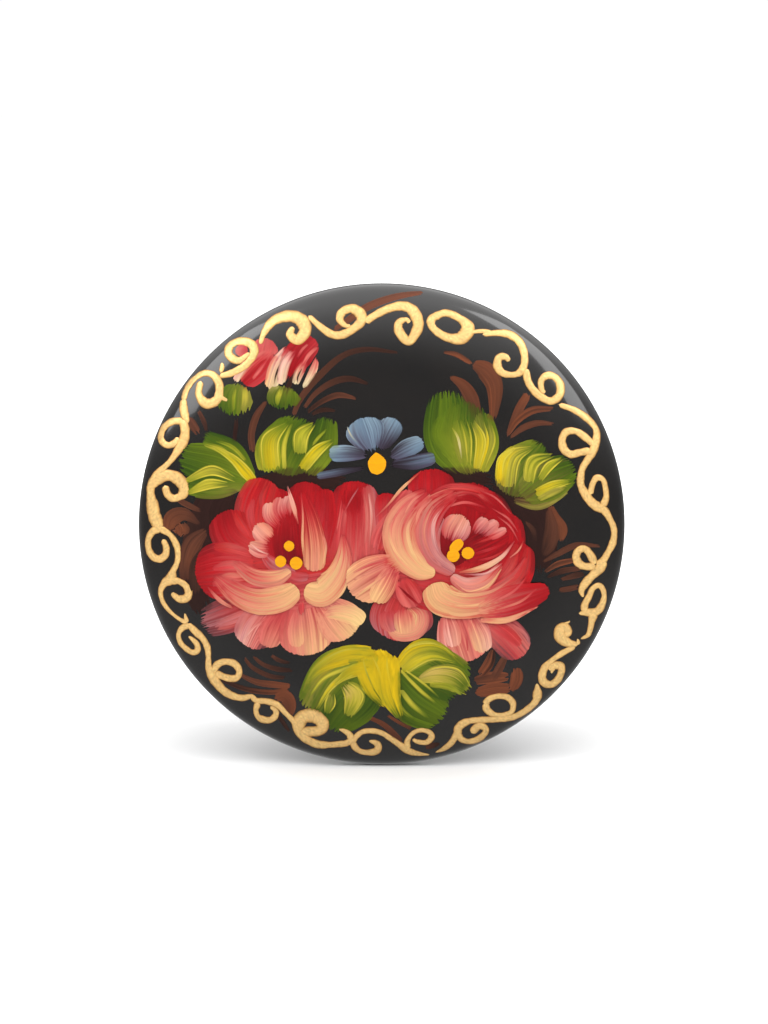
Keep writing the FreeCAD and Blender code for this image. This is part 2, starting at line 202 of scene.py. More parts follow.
def lacquerMaterial():
    material, nodes, links, shader = newMaterial(
        "blackLacquer", Roughness=lacquer["roughness"], Coat_Weight=0.5, Coat_Roughness=0.02)
    place = addNode(nodes, "ShaderNodeTexCoord").outputs["Object"]
    slow = addNode(nodes, "ShaderNodeTexNoise")
    slow.inputs["Scale"].default_value = lacquer["waves"]
    slow.inputs["Detail"].default_value = 2.0
    links.new(place, slow.inputs["Vector"])
    specks = addNode(nodes, "ShaderNodeTexVoronoi")
    specks.inputs["Scale"].default_value = 420.0
    links.new(place, specks.inputs["Vector"])
    dusty = ramp(nodes, links, specks.outputs["Distance"], [(0.0, 1.0), (0.035, 1.0), (0.06, 0.0)])
    sparse = addNode(nodes, "ShaderNodeTexNoise")
    sparse.inputs["Scale"].default_value = 330.0
    links.new(place, sparse.inputs["Vector"])
    few = ramp(nodes, links, sparse.outputs[0], [(0.66, 0.0), (0.7, 1.0)])
    amount = mixColours(nodes, links, 1.0, dusty, few, "MULTIPLY")
    base = mixColours(nodes, links, slow.outputs[0], lacquer["black"], lacquer["warmBlack"])
    links.new(mixColours(nodes, links, amount, base, lacquer["dust"]), shader.inputs["Base Color"])
    bump(nodes, links, slow.outputs[0], 0.35, 0.00004, shader)
    return material


lacquerFinish = lacquerMaterial()
verts, faces = turnedMesh(discProfile(), disc["turns"])
discPiece = makeObject("lacquered_disc", verts, faces, lacquerFinish)
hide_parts("disc")
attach(discPiece, rootBody)
print("stage: disc turned")


# Colours as they are squeezed from the tube, red green blue from 0 to 255.
palette = {
    "wash": (48, 27, 23), "umber": (58, 34, 26), "brown": (92, 52, 36), "rust": (116, 62, 38),
    "throat": (110, 4, 12), "crimson": (158, 4, 16), "red": (178, 10, 20), "brick": (186, 36, 34),
    "rose": (194, 60, 62), "pink": (212, 106, 96), "blush": (224, 144, 114),
    "cream": (234, 182, 124), "butter": (242, 202, 134), "pale": (234, 172, 156), "bone": (224, 204, 160),
    "mauve": (176, 104, 106), "plum": (104, 58, 62),
    "forest": (46, 72, 14), "green": (90, 110, 14), "grass": (124, 134, 26),
    "lime": (160, 156, 34), "lemon": (208, 190, 58), "yellow": (220, 182, 2), "olive": (138, 130, 50),
    "sky": (134, 156, 170), "steel": (104, 126, 146), "violet": (78, 70, 90), "dusk": (42, 32, 40),
    "amber": (246, 168, 2), "gold": (222, 170, 98), "goldLight": (244, 200, 130), "goldDark": (146, 102, 56),
}

# How each kind of brush leaves its stroke: how far colours stray between bristles, how much
# each bristle differs in tone, ragged ends in mm, how round they are, and how far each end and
# the sides melt into the paint below, from 0 to 1.
brushes = {
    "petal": {"streak": 0.16, "tone": 0.07, "ragged": (0.5, 0.2), "round": (0.7, 0.8),
              "melt": (0.9, 0.1, 0.3)},
    "crescent": {"streak": 0.15, "tone": 0.06, "ragged": (0.1, 0.5), "round": (0.9, 0.5),
                 "melt": (0.1, 0.9, 0.4)},
    "fill": {"streak": 0.20, "tone": 0.06, "ragged": (0.6, 0.5), "round": (0.9, 0.9),
             "melt": (0.0, 0.0, 0.0)},
    "flow": {"streak": 0.12, "tone": 0.05, "ragged": (0.5, 0.5), "round": (0.8, 0.6),
             "melt": (0.95, 0.8, 0.7)},
    "feather": {"streak": 0.24, "tone": 0.10, "ragged": (0.8, 0.9), "round": (0.4, 0.6),
                "melt": (0.9, 0.5, 0.4)},
    "leaf": {"streak": 0.20, "tone": 0.09, "ragged": (0.4, 0.7), "round": (0.6, 0.6),
             "melt": (0.5, 0.5, 0.3)},
    "lick": {"streak": 0.18, "tone": 0.08, "ragged": (0.6, 0.3), "round": (0.7, 0.8),
             "melt": (0.9, 0.4, 0.6)},
    "line": {"streak": 0.10, "tone": 0.05, "ragged": (0.3, 0.3), "round": (0.8, 0.8),
             "melt": (0.8, 0.8, 0.2)},
    "dab": {"streak": 0.05, "tone": 0.03, "ragged": (0.05, 0.05), "round": (1.0, 1.0),
            "melt": (0.0, 0.0, 0.0)},
    "wash": {"streak": 0.30, "tone": 0.05, "ragged": (1.2, 1.2), "round": (0.9, 0.9),
             "melt": (0.4, 0.4, 0.6)},
    "scroll": {"streak": 0.30, "tone": 0.12, "ragged": (0.4, 0.5), "round": (0.7, 0.7),
               "melt": (0.2, 0.5, 0.3)},
}

paint = {
    "bristle": 0.10,        # mm between bristles
    "stepLength": 0.36,     # mm between the points along a stroke
    "spans": 40,            # into how many spans the middle line of a stroke is cut
    "firstLift": 0.010,     # mm the first stroke stands off the lacquer
    "layerLift": 0.007,     # mm a stroke adds to whatever lies under it
    "ridge": 0.003,         # mm height of the bristle ridges
    "cell": 0.45,           # mm size of the squares in which the height of the paint is kept
    "grain": 0.28,          # mm size of the squares in which its colour is kept
    "strength": 0.60,       # how much light the paint gives back
    "spread": 0.988,        # size of the whole painting
    "rise": 0.16,           # how far the painting sits up the disc, per mm of height of the face
    "riseFrom": 1.1,
}
paintColours = {}
paintHeights = {}


# Where a spot of the painting lies on the face.
def onPainting(spot, lift):
    up = (faceHeight(spot.length) - paint["riseFrom"]) * paint["rise"]
    return onFace(spot.x * paint["spread"], spot.y * paint["spread"] + up, lift)


# How high a new stroke over these spots has to lie, in mm, and the heights are raised to it.
def clearLift(spots, added):
    cells = {(round(spot.x / paint["cell"]), round(spot.y / paint["cell"])) for spot in spots}
    nearby = {(x + i, z + j) for x, z in cells for i in (-1, 0, 1) for j in (-1, 0, 1)}
    lift = max(paintHeights.get(cell, paint["firstLift"]) for cell in nearby)
    for cell in cells:
        paintHeights[cell] = lift + added
    return lift


# A smooth curve through a list of numbers or Vectors, read at place from 0 to 1.
def smoothAlong(values, place):
    spans = len(values) - 1
    if spans == 0:
        return values[0]
    scaled = min(max(place, 0.0), 1.0) * spans
    index = min(int(scaled), spans - 1)
    part = scaled - index
    here, after = values[index], values[index + 1]
    before = values[index - 1] if index > 0 else here * 2 - after
    later = values[index + 2] if index + 2 <= spans else after * 2 - here
    return ((here * 2) + (after - before) * part
            + (before * 2 - here * 5 + after * 4 - later) * part ** 2
            + (here * 3 - before - after * 3 + later) * part ** 3) * 0.5


# A colour from a list of red, green and blue, read at place from 0 to 1.
def blendAcross(colours, place):
    spans = len(colours) - 1
    scaled = min(max(place, 0.0), 1.0) * spans
    index = min(int(scaled), max(spans - 1, 0))
    part = scaled - index
    first, second = colours[index], colours[min(index + 1, spans)]
    return [a + (b - a) * part for a, b in zip(first, second)]


def toLinear(value, strength):
    value = min(max(value / 255.0, 0.0), 1.0)
    light = value / 12.92 if value <= 0.04045 else ((value + 0.055) / 1.055) ** 2.4
    return light * strength


def grainAt(spot):
    return round(spot.x / paint["grain"]), round(spot.y / paint["grain"])


# Rises softly from 0 to 1 as value runs from low to high.
def softStep(value, low, high):
    part = min(max((value - low) / (high - low), 0.0), 1.0)
    return part * part * (3 - 2 * part)


def newGroup(seed):
    return {"rng": random.Random(seed), "strokes": 0, "verts": [], "faces": [], "colours": [], "brush": []}


def colourList(words):
    return [palette[word] for word in words.split()]


# One brush stroke from root to tip; path and widths in mm, colours named from left to right.
# Where its ends and sides melt, it takes on the colour already lying there.
def layStroke(group, kind, path, widths, root, tip):
    brush, rng = brushes[kind], group["rng"]
    points = [Vector(point) for point in path]
    length = sum((b - a).length for a, b in zip(points, points[1:]))
    columns = max(4, int(max(widths) / paint["bristle"]))
    rows = max(6, int(length / paint["stepLength"]))
    spans = paint["spans"]
    spine = [smoothAlong(points, span / spans) for span in range(spans + 1)]
    rootColours, tipColours = colourList(root), colourList(tip)
    rootRagged, tipRagged = brush["ragged"]
    rootRound, tipRound = brush["round"]
    rootMelt, tipMelt, sideMelt = brush["melt"]
    group["strokes"] += 1
    start = len(group["verts"])
    spots, raised, laid = [], [], []
    fine, broad = 0.0, 0.0
    for column in range(columns + 1):
        across = column / columns * 2 - 1
        fine = fine * 0.25 + rng.gauss(0, 1) * 0.75
        broad = broad * 0.75 + rng.gauss(0, 1) * 0.35
        phase, speed = rng.uniform(0, 6.3), rng.uniform(1.5, 4.0)
        shape = 1 - math.sqrt(max(0.0, 1 - across ** 2))
        tipGap = rng.random() ** 2 * tipRagged
        rootGap = rng.random() * min(rootRagged, length * 0.2)
        endCut = (shape * tipRound * widths[-1] / 2 + tipGap) / length
        startCut = (shape * rootRound * widths[0] / 2 + rootGap) / length
        for row in range(rows + 1):
            along = startCut + (1 - endCut - startCut) * row / rows
            sample = along * spans
            index = min(max(int(sample), 0), spans - 1)
            middle = spine[index].lerp(spine[index + 1], sample - index)
            direction = (spine[min(index + 2, spans)] - spine[max(index - 1, 0)]).normalized()
            width = max(0.02, smoothAlong(list(widths), along))
            spot = middle + Vector((direction.y, -direction.x)) * (across * width / 2)
            spots.append(spot)
            drift = fine * 0.8 + broad * 0.5 + 0.25 * math.sin(phase + speed * along * 3)
            travel = softStep(along + drift * brush["streak"] * 0.9, 0.0, 1.0)
            shade = (across + 1) / 2 + drift * brush["streak"]
            near, far = blendAcross(rootColours, shade), blendAcross(tipColours, shade)
            tone = 1 + brush["tone"] * (fine * 0.8 + 0.3 * math.sin(phase * 2 + along * 5))
            colour = [(a + (b - a) * travel) * tone for a, b in zip(near, far)]
            stray = drift * 0.12
            melt = max(rootMelt * (1 - softStep(along + stray, 0.0, 0.42)),
                       tipMelt * softStep(along + stray, 0.66, 1.0),
                       sideMelt * softStep(abs(across) + stray, 0.55, 1.0))
            below = paintColours.get(grainAt(spot))
            if below:
                colour = [a + (b - a) * melt for a, b in zip(colour, below)]
            laid.append(colour)
            edge = min(1.0, (1 - abs(across)) * 4, row * 0.7, (rows - row) * 0.7)
            raised.append(paint["ridge"] * (0.6 + 0.2 * min(max(fine, -2.0), 2.0)) * edge)
            group["colours"].append([toLinear(value, paint["strength"]) for value in colour] + [1.0])
            group["brush"].append((across * width / 2, along * length, group["strokes"] * 3.7))
    for index, (spot, colour) in enumerate(zip(spots, laid)):
        paintColours[grainAt(spot)] = colour
        if (index + 1) % (rows + 1):
            paintColours[grainAt((spot + spots[index + 1]) / 2)] = colour
    lift = clearLift(spots, paint["layerLift"])
    group["verts"] += [onPainting(spot, lift + more) for spot, more in zip(spots, raised)]
    joinColumns(group["faces"], start, columns, rows)


def joinColumns(faces, start, columns, rows):
    for column in range(columns):
        for row in range(rows):
            a = start + column * (rows + 1) + row
            b = a + rows + 1
            faces.append((a, b, b + 1, a + 1))


# The strokes of a group as one object with its colour and brush direction stored on it.
def paintPiece(name, group, material):
    piece = makeObject(name, group["verts"], group["faces"], material)
    colours = piece.data.color_attributes.new("paintColour", "FLOAT_COLOR", "POINT")
    colours.data.foreach_set("color", [part for colour in group["colours"] for part in colour])
    brush = piece.data.attributes.new("brushPlace", "FLOAT_VECTOR", "POINT")
    brush.data.foreach_set("vector", [part for place in group["brush"] for part in place])
    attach(piece, rootBody)
    return piece


# Paint whose colour is laid by the strokes, with bristle lines, gloss changes and relief.
def paintMaterial(name, roughness, metal=0.0, coat=0.18, streakScale=(9.0, 0.9, 1.0), depth=0.5):
    material, nodes, links, shader = newMaterial(
        name, Metallic=metal, Coat_Weight=coat, Coat_Roughness=0.04, Specular_IOR_Level=0.12)
    colour = addNode(nodes, "ShaderNodeAttribute", attribute_name="paintColour").outputs["Color"]
    place = addNode(nodes, "ShaderNodeAttribute", attribute_name="brushPlace").outputs["Vector"]
    stretch = addNode(nodes, "ShaderNodeMapping")
    stretch.inputs["Scale"].default_value = streakScale
    links.new(place, stretch.inputs["Vector"])
    bristles = addNode(nodes, "ShaderNodeTexNoise")
    bristles.inputs["Scale"].default_value = 1.0
    bristles.inputs["Detail"].default_value = 4.0
    bristles.inputs["Roughness"].default_value = 0.65
    links.new(stretch.outputs[0], bristles.inputs["Vector"])
    tone = ramp(nodes, links, bristles.outputs[0], [(0.3, 0.80), (0.5, 1.0), (0.72, 1.0)])
    links.new(mixColours(nodes, links, depth, colour, tone, "MULTIPLY"), shader.inputs["Base Color"])
    gloss = ramp(nodes, links, bristles.outputs[0], [(0.2, roughness * 0.8), (0.8, roughness * 1.2)])
    links.new(gloss, shader.inputs["Roughness"])
    bump(nodes, links, bristles.outputs[0], 0.4, 0.00003, shader)
    return material


flowerPaint = paintMaterial("flowerPaint", 0.34)
print("stage: paints mixed")


# Each stroke: brush, path from root to tip, widths along it, colours at the root, colours at the tip.
# With a rim colour, the broad licks get a thin pale line along both sides.
def layStrokes(group, strokes, rim=None):
    for kind, path, widths, root, tip in strokes:
        layStroke(group, kind, path, widths, root, tip)
        if rim and kind in ("lick", "crescent") and max(widths) >= 0.9:
            for side in (-1, 1):
                layRim(group, path, widths, side, rim)


def layRim(group, path, widths, side, colour):
    points = [Vector(point) for point in path]
    line = []
    for index, here in enumerate(points):
        place = index / (len(points) - 1)
        along = (points[min(index + 1, len(points) - 1)] - points[max(index - 1, 0)]).normalized()
        reach = side * smoothAlong(widths, place) * 0.40
        line.append(here + Vector((along.y, -along.x)) * reach)
    layStroke(group, "line", line, (0.07, 0.17, 0.15, 0.07), colour, colour)


brownScroll = newGroup(11)
layStrokes(brownScroll, [
    ("wash", ((-16, -3.5), (-19, 1), (-17.6, 4.6)), (5, 6, 4), "wash", "wash"),
    ("wash", ((-14.5, 4.6), (-9, 5.6), (-4, 5.2)), (2.2, 2.6, 2), "wash", "wash"),
    ("wash", ((-21.2, 2.4), (-21.6, -2), (-22, -6), (-20.6, -10.4)), (1.6, 3, 3, 2), "wash umber", "wash"),
    ("wash", ((12.6, 5.2), (16.8, 2.4), (18.4, -1), (18.2, -5.6)), (2, 4, 4, 2.5), "wash", "wash"),
    ("wash", ((5, 5.4), (9, 5.6), (13, 5)), (1.5, 2.5, 2), "wash", "wash"),
    ("wash", ((-17, 9.6), (-16.8, 11.4), (-16.6, 13)), (0.4, 0.5, 0.4), "wash", "umber"),
    ("scroll", ((-10.2, 12.8), (-9.2, 15), (-7, 17.6), (-4.4, 19.8), (-1.6, 20.5), (1.9, 20.1)),
     (0.5, 0.7, 0.8, 0.7, 0.6, 0.3), "brown", "umber"),
    ("scroll", ((-9, 13.6), (-7.6, 15.4), (-5.6, 16.7), (-3.6, 17.1), (-1.5, 16.5)),
     (0.4, 0.6, 0.75, 0.7, 0.3), "brown", "umber"),
    ("scroll", ((-8.6, 13.2), (-7, 14.4), (-5, 15.2), (-2.8, 14.8)), (0.4, 0.6, 0.7, 0.3),
     "umber", "brown"),
    ("scroll", ((-8.2, 12.9), (-6.8, 13.5), (-5.3, 13.4)), (0.3, 0.55, 0.3), "umber", "umber"),
    ("scroll", ((-11.3, 14), (-10.6, 16.5), (-9.9, 17.6)), (0.4, 0.6, 0.3), "umber", "umber"),
    ("scroll", ((-13.2, 14.6), (-14.4, 12.8), (-15, 10.6), (-14.8, 8.5)), (0.4, 0.8, 0.8, 0.7),
     "brown", "brown"),
    ("scroll", ((-21.2, 13.6), (-20.5, 12.2), (-20.2, 11)), (0.4, 0.55, 0.3), "brown", "umber"),
    ("scroll", ((-22.4, 12.8), (-21.9, 12), (-21.1, 10.7)), (0.5, 1.0, 0.8), "brown", "brown"),
    ("scroll", ((7.8, 17.4), (9.4, 16.3), (10.4, 14.6), (11.1, 12.3)), (0.4, 1.3, 1.6, 0.8),
     "rust brown", "brown"),
    ("scroll", ((10.4, 18.9), (12, 18), (13, 16), (12.8, 12.2)), (0.8, 2.2, 1.9, 0.7),
     "rust brown", "brown rust"),
    ("scroll", ((7, 20.2), (8.6, 19.9), (10.4, 18.8)), (0.3, 0.6, 0.5), "brown", "rust"),
    ("scroll", ((16.9, 15.5), (15.7, 13.4), (14.4, 10.4)), (0.9, 1.0, 0.4), "rust", "brown"),
    ("scroll", ((19.9, 13.7), (17.4, 13.5), (15.6, 12.3), (14.5, 10.6)), (0.5, 0.9, 0.8, 0.4),
     "brown", "rust"),
    ("scroll", ((19.9, 11.9), (18, 12), (16.2, 11.4), (14.7, 10.2)), (0.3, 0.7, 0.75, 0.3),
     "brown", "brown"),
    ("scroll", ((-5.6, 22.7), (-3.6, 24.1), (-1.4, 25.6), (1.6, 26.7), (4.8, 27.3)),
     (0.5, 0.8, 0.9, 0.8, 0.5), "rust brown", "rust"),
    ("scroll", ((19.4, 2.6), (20, 1), (20.7, -0.4), (20.5, -1.8)), (0.5, 1.2, 1.6, 0.8),
     "rust", "rust brown"),
    ("scroll", ((19.2, 2.2), (19.6, 0), (19.4, -2), (18.6, -3.5)), (0.5, 1.5, 1.7, 0.6),
     "brown", "brown umber"),
    ("scroll", ((16.6, 0.6), (17.5, -0.5), (17.8, -1.8)), (0.3, 0.6, 0.3), "brown", "umber"),
    ("scroll", ((18.6, -4.2), (20.4, -3.2), (22.6, -2.2), (25.4, -2.3)), (0.3, 0.7, 0.7, 0.3),
     "brown", "brown"),
    ("scroll", ((18.8, -5.4), (20.4, -4.4), (22.6, -3.9)), (0.3, 0.7, 0.5), "brown", "rust"),
    ("scroll", ((19, -6), (21, -5.2), (23.2, -4.9)), (0.3, 0.7, 0.5), "umber", "brown"),
    ("scroll", ((20.6, -6.3), (22.2, -5.8), (23.6, -5.5)), (0.3, 0.7, 0.6), "brown", "umber"),
    ("scroll", ((20.4, -7.5), (21.8, -7.3), (23, -7)), (0.5, 0.65, 0.5), "brown", "brown"),
    ("scroll", ((-23.6, 3.1), (-22.2, 2.4), (-20.8, 1.7)), (0.6, 0.7, 0.4), "brown", "brown"),
    ("scroll", ((-24.8, -0.6), (-24.3, 0.9), (-22.8, 1.4), (-21, 0.2)), (1.0, 1.9, 1.5, 0.3),
     "rust", "brown"),
    ("scroll", ((-23.6, 0.4), (-23.2, -0.4), (-23.4, -1.2)), (1.6, 2.0, 1.0), "brown rust", "rust"),
    ("scroll", ((-20.2, -0.4), (-21.8, -2), (-22.6, -4), (-22.8, -6.4)), (0.7, 2.2, 1.8, 1.2),
     "brown", "rust brown"),
    ("scroll", ((-20.4, -2.6), (-21.4, -4.6), (-21.6, -8)), (0.8, 1.6, 1.4), "umber", "brown umber"),
    ("scroll", ((-16, -15.4), (-15, -16.6), (-13, -17.6), (-11.2, -17.8)), (0.3, 0.5, 0.6, 0.4),
     "brown", "umber"),
    ("scroll", ((-15, -15.2), (-13.8, -16.2), (-12, -16.8), (-10.3, -16.9)), (0.3, 0.5, 0.6, 0.4),
     "brown", "umber"),
    ("scroll", ((-13, -15), (-12, -15.7), (-10.6, -16.1)), (0.3, 0.5, 0.3), "brown", "umber"),
    ("scroll", ((-16.6, -17.4), (-14.6, -18.3), (-12.6, -18.6), (-10.6, -18.8)), (0.4, 0.7, 0.8, 0.6),
     "brown", "rust"),
    ("scroll", ((-19, -17.9), (-16, -19.1), (-13, -19.5), (-10.8, -19.2)), (0.4, 0.6, 0.6, 0.5),
     "umber", "rust"),
    ("scroll", ((-12.6, -20.3), (-11.4, -20), (-10.7, -20.9), (-10.6, -22.4)), (0.5, 1.6, 1.5, 0.6),
     "rust", "rust brown"),
    ("scroll", ((-12.4, -21.8), (-11.6, -23), (-10.8, -24.3)), (0.4, 0.5, 0.3), "umber", "umber"),
    ("scroll", ((-1.7, -22.4), (0, -23.2), (1.2, -24.2), (2.4, -25.4)), (0.4, 0.6, 0.7, 0.5),
     "rust", "brown"),
    ("scroll", ((0.6, -22.2), (2.2, -23.2), (3.6, -23.9)), (0.3, 0.4, 0.4), "rust", "brown"),
    ("scroll", ((5, -26.2), (5.8, -25.9), (6.8, -25.7)), (0.4, 0.7, 0.4), "brown", "umber"),
    ("scroll", ((10.8, -19.6), (13, -19.2), (15.2, -19)), (1.0, 1.6, 1.0), "rust", "rust"),
    ("scroll", ((10.6, -18.2), (12.6, -17.8), (14.8, -17.6)), (0.9, 1.4, 1.2), "brown", "rust"),
    ("scroll", ((12.9, -14.4), (12.5, -16), (11.4, -17.6)), (0.6, 1.2, 1.0), "umber brown", "rust"),
    ("scroll", ((14.5, -15), (13.7, -16.6), (12.9, -18)), (0.6, 1.0, 0.8), "brown", "brown"),
    ("scroll", ((15.1, -19.4), (15.7, -18), (15.7, -16.6)), (0.9, 1.5, 1.2), "rust", "rust"),
])
print("stage: brown scroll painted")

leaves = newGroup(23)
layStrokes(leaves, [
    # far left leaf
    ("leaf", ((-14.8, 5.6), (-17.2, 8.6), (-20.6, 10.6)), (1.0, 2.6, 1.4), "grass green", "green forest"),
    ("leaf", ((-15.2, 5.2), (-18.6, 6.8), (-23.4, 8.2)), (1.6, 5.0, 3.4), "green grass", "forest green"),
    ("leaf", ((-15.8, 5), (-18.8, 4.8), (-22.6, 4.9)), (1.2, 3.2, 3.0), "olive green", "green forest"),
    ("lick", ((-16.8, 5.4), (-19.6, 6.5), (-22.6, 5.3)), (0.6, 1.3, 0.6), "olive lime", "lime lemon"),
    ("lick", ((-17.6, 4.9), (-20, 4.9), (-22.4, 3.9)), (0.5, 1.3, 0.5), "lime lemon", "lemon lime"),
    ("lick", ((-20.9, 9.7), (-18.6, 8.9), (-16.8, 7.4)), (0.3, 0.8, 0.5), "lime lemon", "lemon"),
    ("lick", ((-19.6, 9.4), (-17.2, 7.9), (-15.6, 6.2), (-14.4, 4.8)), (0.3, 1.0, 1.4, 0.7),
     "lime", "yellow"),
    ("lick", ((-19.2, 10), (-17.2, 9.2), (-15.6, 7.6)), (0.2, 0.5, 0.3), "grass", "lime"),
    # left leaf
    ("leaf", ((-11.6, 5.9), (-10.8, 8.8), (-8.6, 12.4)), (4.5, 6.8, 4.4), "grass green", "green forest"),
    ("leaf", ((-12.6, 6.2), (-12.9, 9.2), (-10.9, 12.4)), (3, 3.2, 1.6), "lime grass", "green"),
    ("leaf", ((-8.8, 6), (-7, 9.2), (-6.2, 12.7)), (2.4, 3.6, 2.2), "green grass", "forest green"),
    ("lick", ((-10.8, 12.0), (-12.8, 10), (-12.7, 6.5)), (0.4, 2.3, 2.4),
     "lime grass", "lemon yellow lime"),
    ("lick", ((-10.2, 12.2), (-11.2, 9.6), (-11.2, 6.6)), (0.2, 0.6, 0.5), "lime", "lemon"),
    ("lick", ((-7.7, 12.0), (-9.2, 10.6), (-9.4, 8.3)), (0.4, 1.9, 1.5), "grass lime", "lemon lime"),
    ("lick", ((-5.6, 10), (-7.4, 8.8), (-9.2, 6.6)), (0.4, 1.4, 1.3), "lime grass", "lemon yellow"),
    ("lick", ((-6.2, 11.4), (-7.2, 10.4), (-8, 9.4)), (0.2, 0.4, 0.25), "grass", "lime"),
    # right upper leaf
    ("feather", ((9.8, 6.4), (7.8, 10.2), (7.4, 15.8)), (2.8, 5.8, 3.8),
     "green grass", "forest green forest"),
    ("leaf", ((10.6, 6), (9.6, 10), (9.6, 14.6)), (2.6, 5.6, 4.0), "grass lime green", "green forest"),
    ("leaf", ((11.2, 6.2), (12.2, 9.6), (11.4, 13.2)), (1.8, 2.6, 2.2), "olive lime", "olive green"),
    ("flow", ((7.2, 13), (6.6, 10.6), (8.4, 7.8)), (1.0, 2.0, 1.2), "green", "grass green"),
    ("flow", ((8.6, 12.6), (9.2, 10), (9.8, 7)), (1.2, 2.2, 1.4), "grass", "lime olive"),
    ("line", ((8.0, 11.6), (8.8, 10.2), (9.2, 7.8)), (0.1, 0.3, 0.12), "lime", "bone"),
    ("line", ((9, 12.4), (9.6, 10.2), (9.9, 7.2)), (0.08, 0.2, 0.1), "lime", "lemon"),
    ("line", ((9.6, 12.8), (10.3, 10.2), (10.2, 6.8)), (0.08, 0.2, 0.1), "lime", "lemon"),
    ("lick", ((10.4, 12.3), (11.4, 10), (10.9, 6.6)), (0.5, 1.3, 0.8), "lime", "lemon yellow"),
    ("lick", ((12.3, 12.4), (12.7, 9.8), (11.5, 6.3)), (0.4, 0.7, 0.4), "olive", "lime"),
    ("line", ((11.7, 12.2), (12.2, 9.8), (11.3, 6.4)), (0.1, 0.3, 0.15), "lemon", "yellow"),
    ("line", ((12.6, 12), (13, 9.8), (11.9, 6.8)), (0.08, 0.2, 0.1), "lime", "lemon"),
    # far right leaf
    ("leaf", ((15.2, 3.1), (18.2, 2.8), (21.6, 4.6)), (0.8, 1.8, 1.2), "brown olive", "olive"),
    ("leaf", ((14.8, 3.4), (16, 6.6), (18.6, 9.6)), (3.2, 5.6, 2.4), "olive green", "grass forest"),
    ("leaf", ((16, 3.4), (19, 5.4), (22.3, 7)), (2.6, 5.0, 3.2), "olive green", "forest green"),
    ("lick", ((17.4, 9.2), (15, 8.0), (14.3, 4.5)), (0.4, 2.4, 2.6), "lime olive", "olive lemon yellow"),
    ("lick", ((15.4, 9.2), (13.8, 7.8), (13.5, 5.2)), (0.3, 0.9, 0.9), "lemon", "yellow"),
    ("lick", ((19.8, 8.3), (17.5, 7.5), (16.9, 5.1)), (0.4, 1.7, 1.3), "grass lime", "lime lemon"),
    ("lick", ((20.9, 8), (19.3, 7), (18.2, 5.4)), (0.3, 1.1, 0.7), "grass lime", "lime"),
    ("lick", ((22, 5.3), (19.8, 4.8), (17.7, 3.8)), (0.4, 1.1, 1.1), "lime", "lemon yellow"),
    ("lick", ((21.4, 4.6), (19.8, 4), (18, 3.1)), (0.3, 0.8, 0.6), "olive", "lemon olive"),
], "lemon")

smallFlowers = newGroup(31)
layStrokes(smallFlowers, [
    # blue flower
    ("petal", ((-1.9, 6.8), (-4.8, 6.3), (-7.5, 5.8)), (0.3, 0.9, 0.8), "dusk", "violet steel"),
    ("petal", ((0.9, 7.9), (2.8, 9), (4.8, 9.9)), (0.8, 2.1, 1.6), "dusk violet", "sky steel"),
    ("petal", ((0.9, 7.2), (3.6, 7.4), (6.2, 8.0)), (0.6, 1.7, 1.5), "dusk", "violet steel violet"),
    ("petal", ((-1.6, 8.3), (-3.8, 8.5), (-6.1, 8.4)), (0.8, 1.9, 1.9), "violet dusk", "steel sky"),
    ("petal", ((-0.2, 8.8), (0.7, 10.8), (1.6, 12.5)), (1.2, 2.6, 2.6), "violet dusk", "sky steel"),
    ("petal", ((-1, 8.6), (-1.8, 10.8), (-2.4, 12.6)), (1.6, 4.4, 3.8), "violet steel", "sky steel sky"),
    ("line", ((-2, 9), (-3.4, 10.4), (-4, 11.6)), (0.1, 0.2, 0.1), "steel", "bone"),
    ("dab", ((-1.6, 7.4), (-0.6, 7.3), (0.5, 7.5)), (2.0, 2.6, 2.0), "amber", "amber"),
    # left bud
    ("petal", ((-13.6, 19.4), (-13.5, 20.6), (-13.2, 21.9)), (2.4, 3.2, 2.6), "rose pink", "pink rose"),
    ("petal", ((-12.4, 20.3), (-14.4, 18.2), (-16, 16.6)), (1.4, 3.0, 2.2),
     "rose red pink", "rose crimson blush"),
    ("lick", ((-14, 20.2), (-15.8, 18.6), (-16.9, 16.8)), (0.3, 1.0, 0.7), "pink", "bone pale"),
    ("lick", ((-13, 19.6), (-14, 18.2), (-14.9, 17)), (0.2, 0.5, 0.3), "rose", "pink"),
    ("dab", ((-16.9, 20.4), (-16.1, 20.5), (-15.4, 20.6)), (1.2, 1.5, 1.1), "pink", "rose"),
    # right bud
    ("petal", ((-10.8, 17), (-9.6, 19.8), (-7.6, 21.7)), (1.6, 3.4, 2.2), "crimson", "crimson rose"),
    ("lick", ((-10.8, 20.9), (-12, 18.6), (-12.9, 15.8)), (0.6, 1.9, 1.4), "pale", "bone cream"),
    ("line", ((-11, 20), (-12, 18), (-12.4, 16.4)), (0.1, 0.22, 0.1), "umber", "umber"),
    ("lick", ((-9.9, 20.6), (-11.1, 18.8), (-11.6, 16.4)), (0.5, 1.2, 1.0), "pale", "bone pale"),
    ("lick", ((-8.4, 19.6), (-9.4, 18), (-10, 16.4)), (0.6, 1.1, 0.8), "rose", "bone"),
    ("line", ((-9, 18.6), (-9.6, 17.4), (-9.7, 16.6)), (0.08, 0.2, 0.1), "umber", "umber"),
    ("lick", ((-7.4, 19.6), (-7.9, 18), (-9, 16)), (0.4, 0.9, 0.5), "rose pink", "bone"),
    ("lick", ((-9.2, 18.4), (-8.4, 19.8), (-7.4, 20.8)), (0.25, 0.5, 0.3), "pink", "pink"),
    ("lick", ((-9.8, 19.2), (-9.2, 20.4), (-8.4, 21.2)), (0.2, 0.35, 0.2), "rose", "pink"),
])

